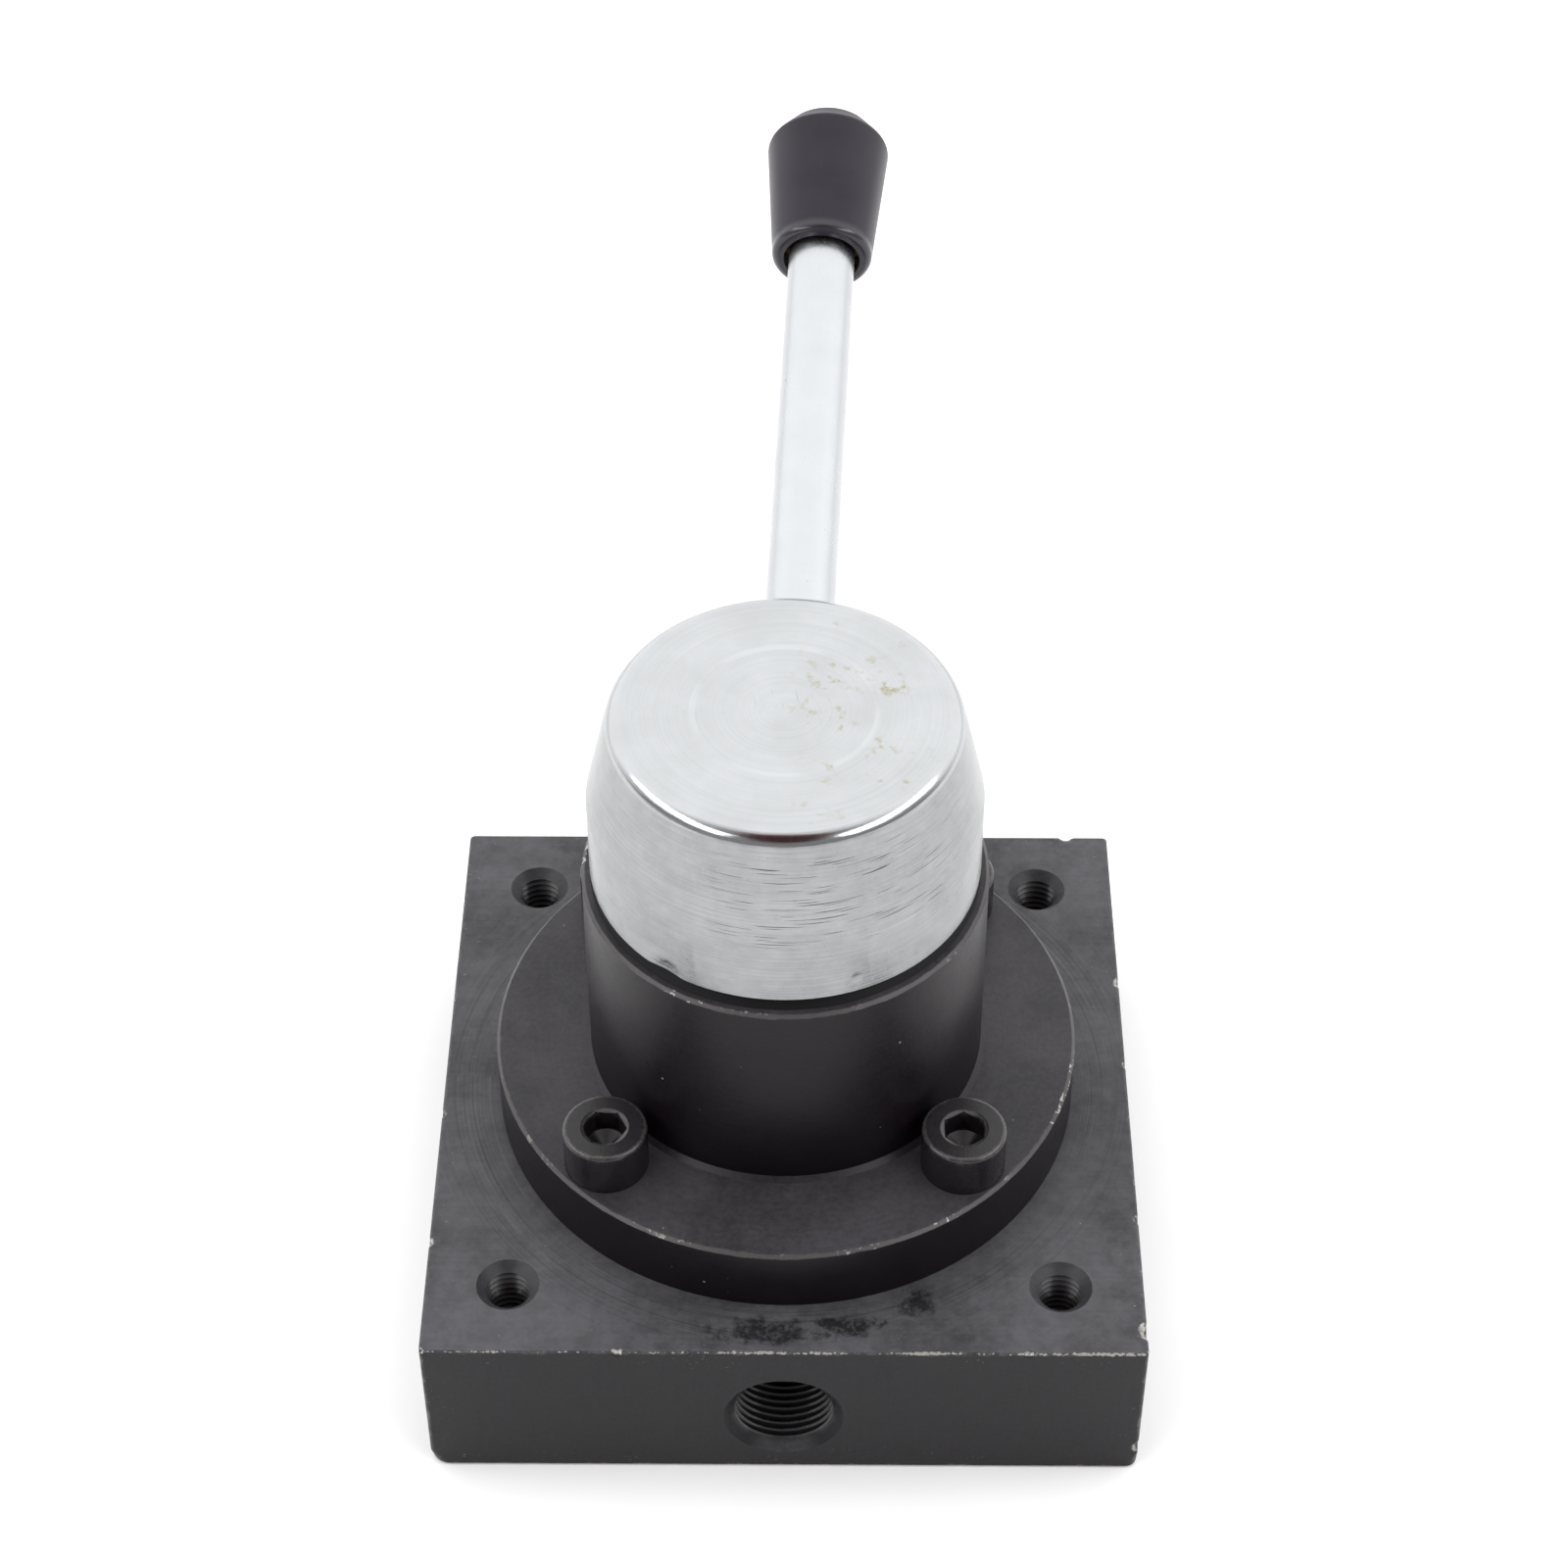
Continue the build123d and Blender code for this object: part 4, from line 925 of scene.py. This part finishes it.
# %% The knob's finish
def knob_finish():
    finish = Finish("moulded_knob")
    along, round_it = along_lever(finish)
    skin = patches(finish, 0.45, 3.0)
    cloud = patches(finish, 8.0, 3.0, (2.0, 0.0, 6.0))
    handled = along.rise(136.0, 140.0)
    mouth = along.rise(116.2, 114.8)
    scuff = marks(finish, round_it, along, 0.5, 0.5, 2.0).rise(0.62, 0.75) * handled
    colour = finish.blend(cloud * 0.8, srgb(32, 29, 36), srgb(50, 47, 56))
    colour = finish.blend(scuff * 0.3, colour, srgb(110, 110, 114))
    colour = finish.blend(specks(finish, 4.0, 0.10, 0.12) * 0.5, colour, DUST)
    rough = 0.34 + (skin - 0.5) * 0.12 + (cloud - 0.5) * 0.10 + handled * 0.14
    return surface(finish, colour, rough, 0.0, skin, 0.012, mouth * 0.6, specular=0.19)


wear("knob", knob_finish())
print("knob finished")

# %% [markdown]
# ## The pieces inside
#
# Most of the valve is out of sight: ground steel, bronze, brass, wire, rubber
# and a slippery white plastic. Each still gets a finish of its own, because
# the valve can be taken apart. They differ in colour, gloss and grain only, so
# one function makes them all from a short list.

# %% Finishes for the inner pieces
def inner_finish(name, dark, light, roughness, metallic, grain_size, depth, specular):
    finish = Finish(name)
    cloud = patches(finish, 5.0, 3.0)
    grain = patches(finish, grain_size, 3.0, (5.0, 9.0, 2.0))
    turning = marks(finish, finish.angle(), finish.from_axis() + finish.z, 2.5, 0.25)
    colour = finish.blend(cloud * 0.7 + turning * 0.3, dark, light)
    rough = roughness + (grain - 0.5) * 0.15 + (cloud - 0.5) * 0.1
    height = grain * 0.5 + turning * 0.5
    return surface(finish, colour, rough.most(0.08), metallic, height, depth, specular=specular)


print("inner finishes can be made")

# %% The list of inner finishes
# name: dark and light colour, roughness, metallic, grain size, depth, specular, nodes
INNER = {
    "ground_steel": (
        srgb(120, 122, 126), srgb(176, 178, 182), 0.26, 1.0, 0.5, 0.006, 0.5,
        ["seal_sleeves", "rotor", "spindle", "drive_key", "detent_plate", "stop_pin",
         "spindle_washer"],
    ),
    "polished_steel": (
        srgb(150, 152, 156), srgb(206, 208, 212), 0.12, 1.0, 0.4, 0.003, 0.5,
        ["thrust_race_lower", "thrust_race_upper", "thrust_balls", "detent_ball"],
    ),
    "pressed_bronze": (
        srgb(140, 96, 54), srgb(196, 148, 92), 0.36, 1.0, 0.5, 0.010, 0.5,
        ["spindle_bush", "thrust_cage"],
    ),
    "turned_brass": (
        srgb(92, 72, 40), srgb(132, 106, 62), 0.42, 1.0, 0.5, 0.010, 0.5,
        ["knob_insert"],
    ),
    "spring_wire": (
        srgb(60, 60, 64), srgb(110, 110, 114), 0.30, 1.0, 0.4, 0.008, 0.5,
        ["sleeve_springs", "detent_spring", "retaining_ring"],
    ),
    "small_screws": (
        srgb(24, 22, 24), srgb(58, 56, 58), 0.34, 0.2, 0.5, 0.010, 0.5,
        ["plate_screws"],
    ),
    "nitrile_rubber": (
        srgb(10, 10, 11), srgb(24, 24, 26), 0.58, 0.0, 0.35, 0.020, 0.15,
        ["sleeve_o_rings", "bonnet_o_ring", "spindle_o_rings", "dust_seal"],
    ),
    "white_ptfe": (
        srgb(206, 206, 200), srgb(232, 232, 228), 0.45, 0.0, 0.6, 0.008, 0.5,
        ["backup_rings"],
    ),
}
for name, (*values, nodes) in INNER.items():
    made = inner_finish(name, *values)
    for node in nodes:
        wear(node, made)
print("inner finishes:", len(INNER))

# %% [markdown]
# ## The table
#
# The valve stands on a pale table, big enough that its edge is never seen. It
# lies a hair below the block's foot, so the two faces don't flicker through
# each other.

# %% Table
TABLE_HALF = 6.0
TABLE_GAP = 0.0002


def table():
    mesh = bpy.data.meshes.new("studio_table")
    grid = bmesh.new()
    bmesh.ops.create_grid(grid, x_segments=24, y_segments=24, size=TABLE_HALF)
    grid.to_mesh(mesh)
    grid.free()
    made = bpy.data.objects.new("studio_table", mesh)
    bpy.context.scene.collection.objects.link(made)
    made.location.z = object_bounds()[0].z - TABLE_GAP
    finish = Finish("table_paper")
    tone = finish.blend(patches(finish, 40.0, 2.0), srgb(250, 250, 250), srgb(246, 246, 247))
    height = patches(finish, 1.0)
    mesh.materials.append(surface(finish, tone, 0.9, 0.0, height, 0.005, specular=0.1))


table()
print("table ready")

# %% [markdown]
# ## Two soft lights
#
# Two long soft lights stand at the near side, left and right. They put the
# crisp highlights on the cap's rounded edge, and the gap between them leaves
# the dark band in its middle. They are dim: most of the light is the room's.

# %% Lights
LIGHT_WIDTH, LIGHT_HEIGHT, LIGHT_POWER = 1.15, 0.30, 5.6
LIGHT_AIM = Vector((0.0, 0.0, 0.06))


def soft_light(name, place):
    lamp = bpy.data.lights.new(name, "AREA")
    lamp.shape, lamp.energy = "RECTANGLE", LIGHT_POWER
    lamp.size, lamp.size_y = LIGHT_WIDTH, LIGHT_HEIGHT
    made = bpy.data.objects.new(name, lamp)
    bpy.context.scene.collection.objects.link(made)
    made.location = place
    made.rotation_euler = (LIGHT_AIM - Vector(place)).to_track_quat("-Z", "Y").to_euler()


soft_light("soft_light_left", (-0.82, -0.34, 0.66))
soft_light("soft_light_right", (0.82, -0.34, 0.66))
print("lights ready")

# %% [markdown]
# ## The room
#
# The room is white to look at, but the light it gives isn't even. It is bright
# behind and above the valve and dim on the near side, so upright faces stay
# dark while the faces that look up shine. High on the near side is a small
# dark, slightly red patch, like somebody in a warm coat bending over the
# table. It deepens the dark band on the cap's rounded edge.

# %% Room
SEEN_WHITE = 1.0
DIM, BRIGHT = 0.36, 1.70
BRIGHT_SIDE = Vector((0.0, 0.8, 0.6))
DARK_SIDE = Vector((0.0, -0.69, 0.72))


def room():
    world = bpy.data.worlds.new("white_room")
    bpy.context.scene.world = world
    graph = Graph(world)
    heading = graph.node("ShaderNodeTexCoord", out="Generated")

    def facing(side):
        """1 towards a side, 0 square to it, -1 away from it."""
        return graph.node(
            "ShaderNodeVectorMath", {"operation": "DOT_PRODUCT"},
            [heading, tuple(side.normalized())], out="Value",
        )

    dark = facing(DARK_SIDE)
    level = facing(BRIGHT_SIDE).rise(-0.05, 0.55, DIM, BRIGHT) * dark.rise(0.90, 0.97, 1.0, 0.22)
    white_to_red = [(0.90, (1.0, 1.0, 1.0)), (0.97, (1.0, 0.42, 0.45))]
    tint = graph.node("ShaderNodeValToRGB", {"stops": white_to_red}, [dark])
    given = graph.node("ShaderNodeBackground", {}, {"Color": tint, "Strength": level})
    seen = graph.node(
        "ShaderNodeBackground", {}, {"Color": (1.0, 1.0, 1.0), "Strength": SEEN_WHITE}
    )
    looked_at = graph.node("ShaderNodeLightPath", out="Is Camera Ray")
    shown = graph.node("ShaderNodeMixShader", {}, [looked_at, given, seen])
    graph.close("ShaderNodeOutputWorld", shown)


room()
bpy.context.scene.view_settings.view_transform = "Standard"
print("room ready")

# %% [markdown]
# ## The camera
#
# The camera looks down at the valve from the front, at a little over 44
# degrees, through a long lens, so the block's far edge is only a little
# narrower than the near one. Its place and turn are given by three angles, in
# radians: its turn to the side, its tilt down and its lean. A camera looks
# along its own minus z, so its three axes are built from those and put into
# its matrix.

# %% Camera
CAMERA_AT = Vector((0.003487, -0.370546, 0.454769))
CAMERA_TURN, CAMERA_TILT, CAMERA_LEAN = -0.00987, 0.770725, -0.003367
CAMERA_LENS = 79.86


def studio_camera():
    flat = Vector((math.sin(CAMERA_TURN), math.cos(CAMERA_TURN), 0))
    ahead = flat * math.cos(CAMERA_TILT) - Vector((0, 0, math.sin(CAMERA_TILT)))
    level_right = Vector((flat.y, -flat.x, 0))
    level_up = level_right.cross(ahead)
    right = level_right * math.cos(CAMERA_LEAN) + level_up * math.sin(CAMERA_LEAN)
    up = level_up * math.cos(CAMERA_LEAN) - level_right * math.sin(CAMERA_LEAN)
    data = bpy.data.cameras.new("studio_camera")
    data.lens, data.sensor_width = CAMERA_LENS, 36.0
    data.clip_start, data.clip_end = 0.01, 50.0
    made = bpy.data.objects.new("studio_camera", data)
    bpy.context.scene.collection.objects.link(made)
    axes = Matrix((right, up, -ahead)).transposed()
    made.matrix_world = Matrix.Translation(CAMERA_AT) @ axes.to_4x4()
    bpy.context.scene.camera = made


studio_camera()
print("camera looks down by", round(math.degrees(CAMERA_TILT), 1), "degrees")
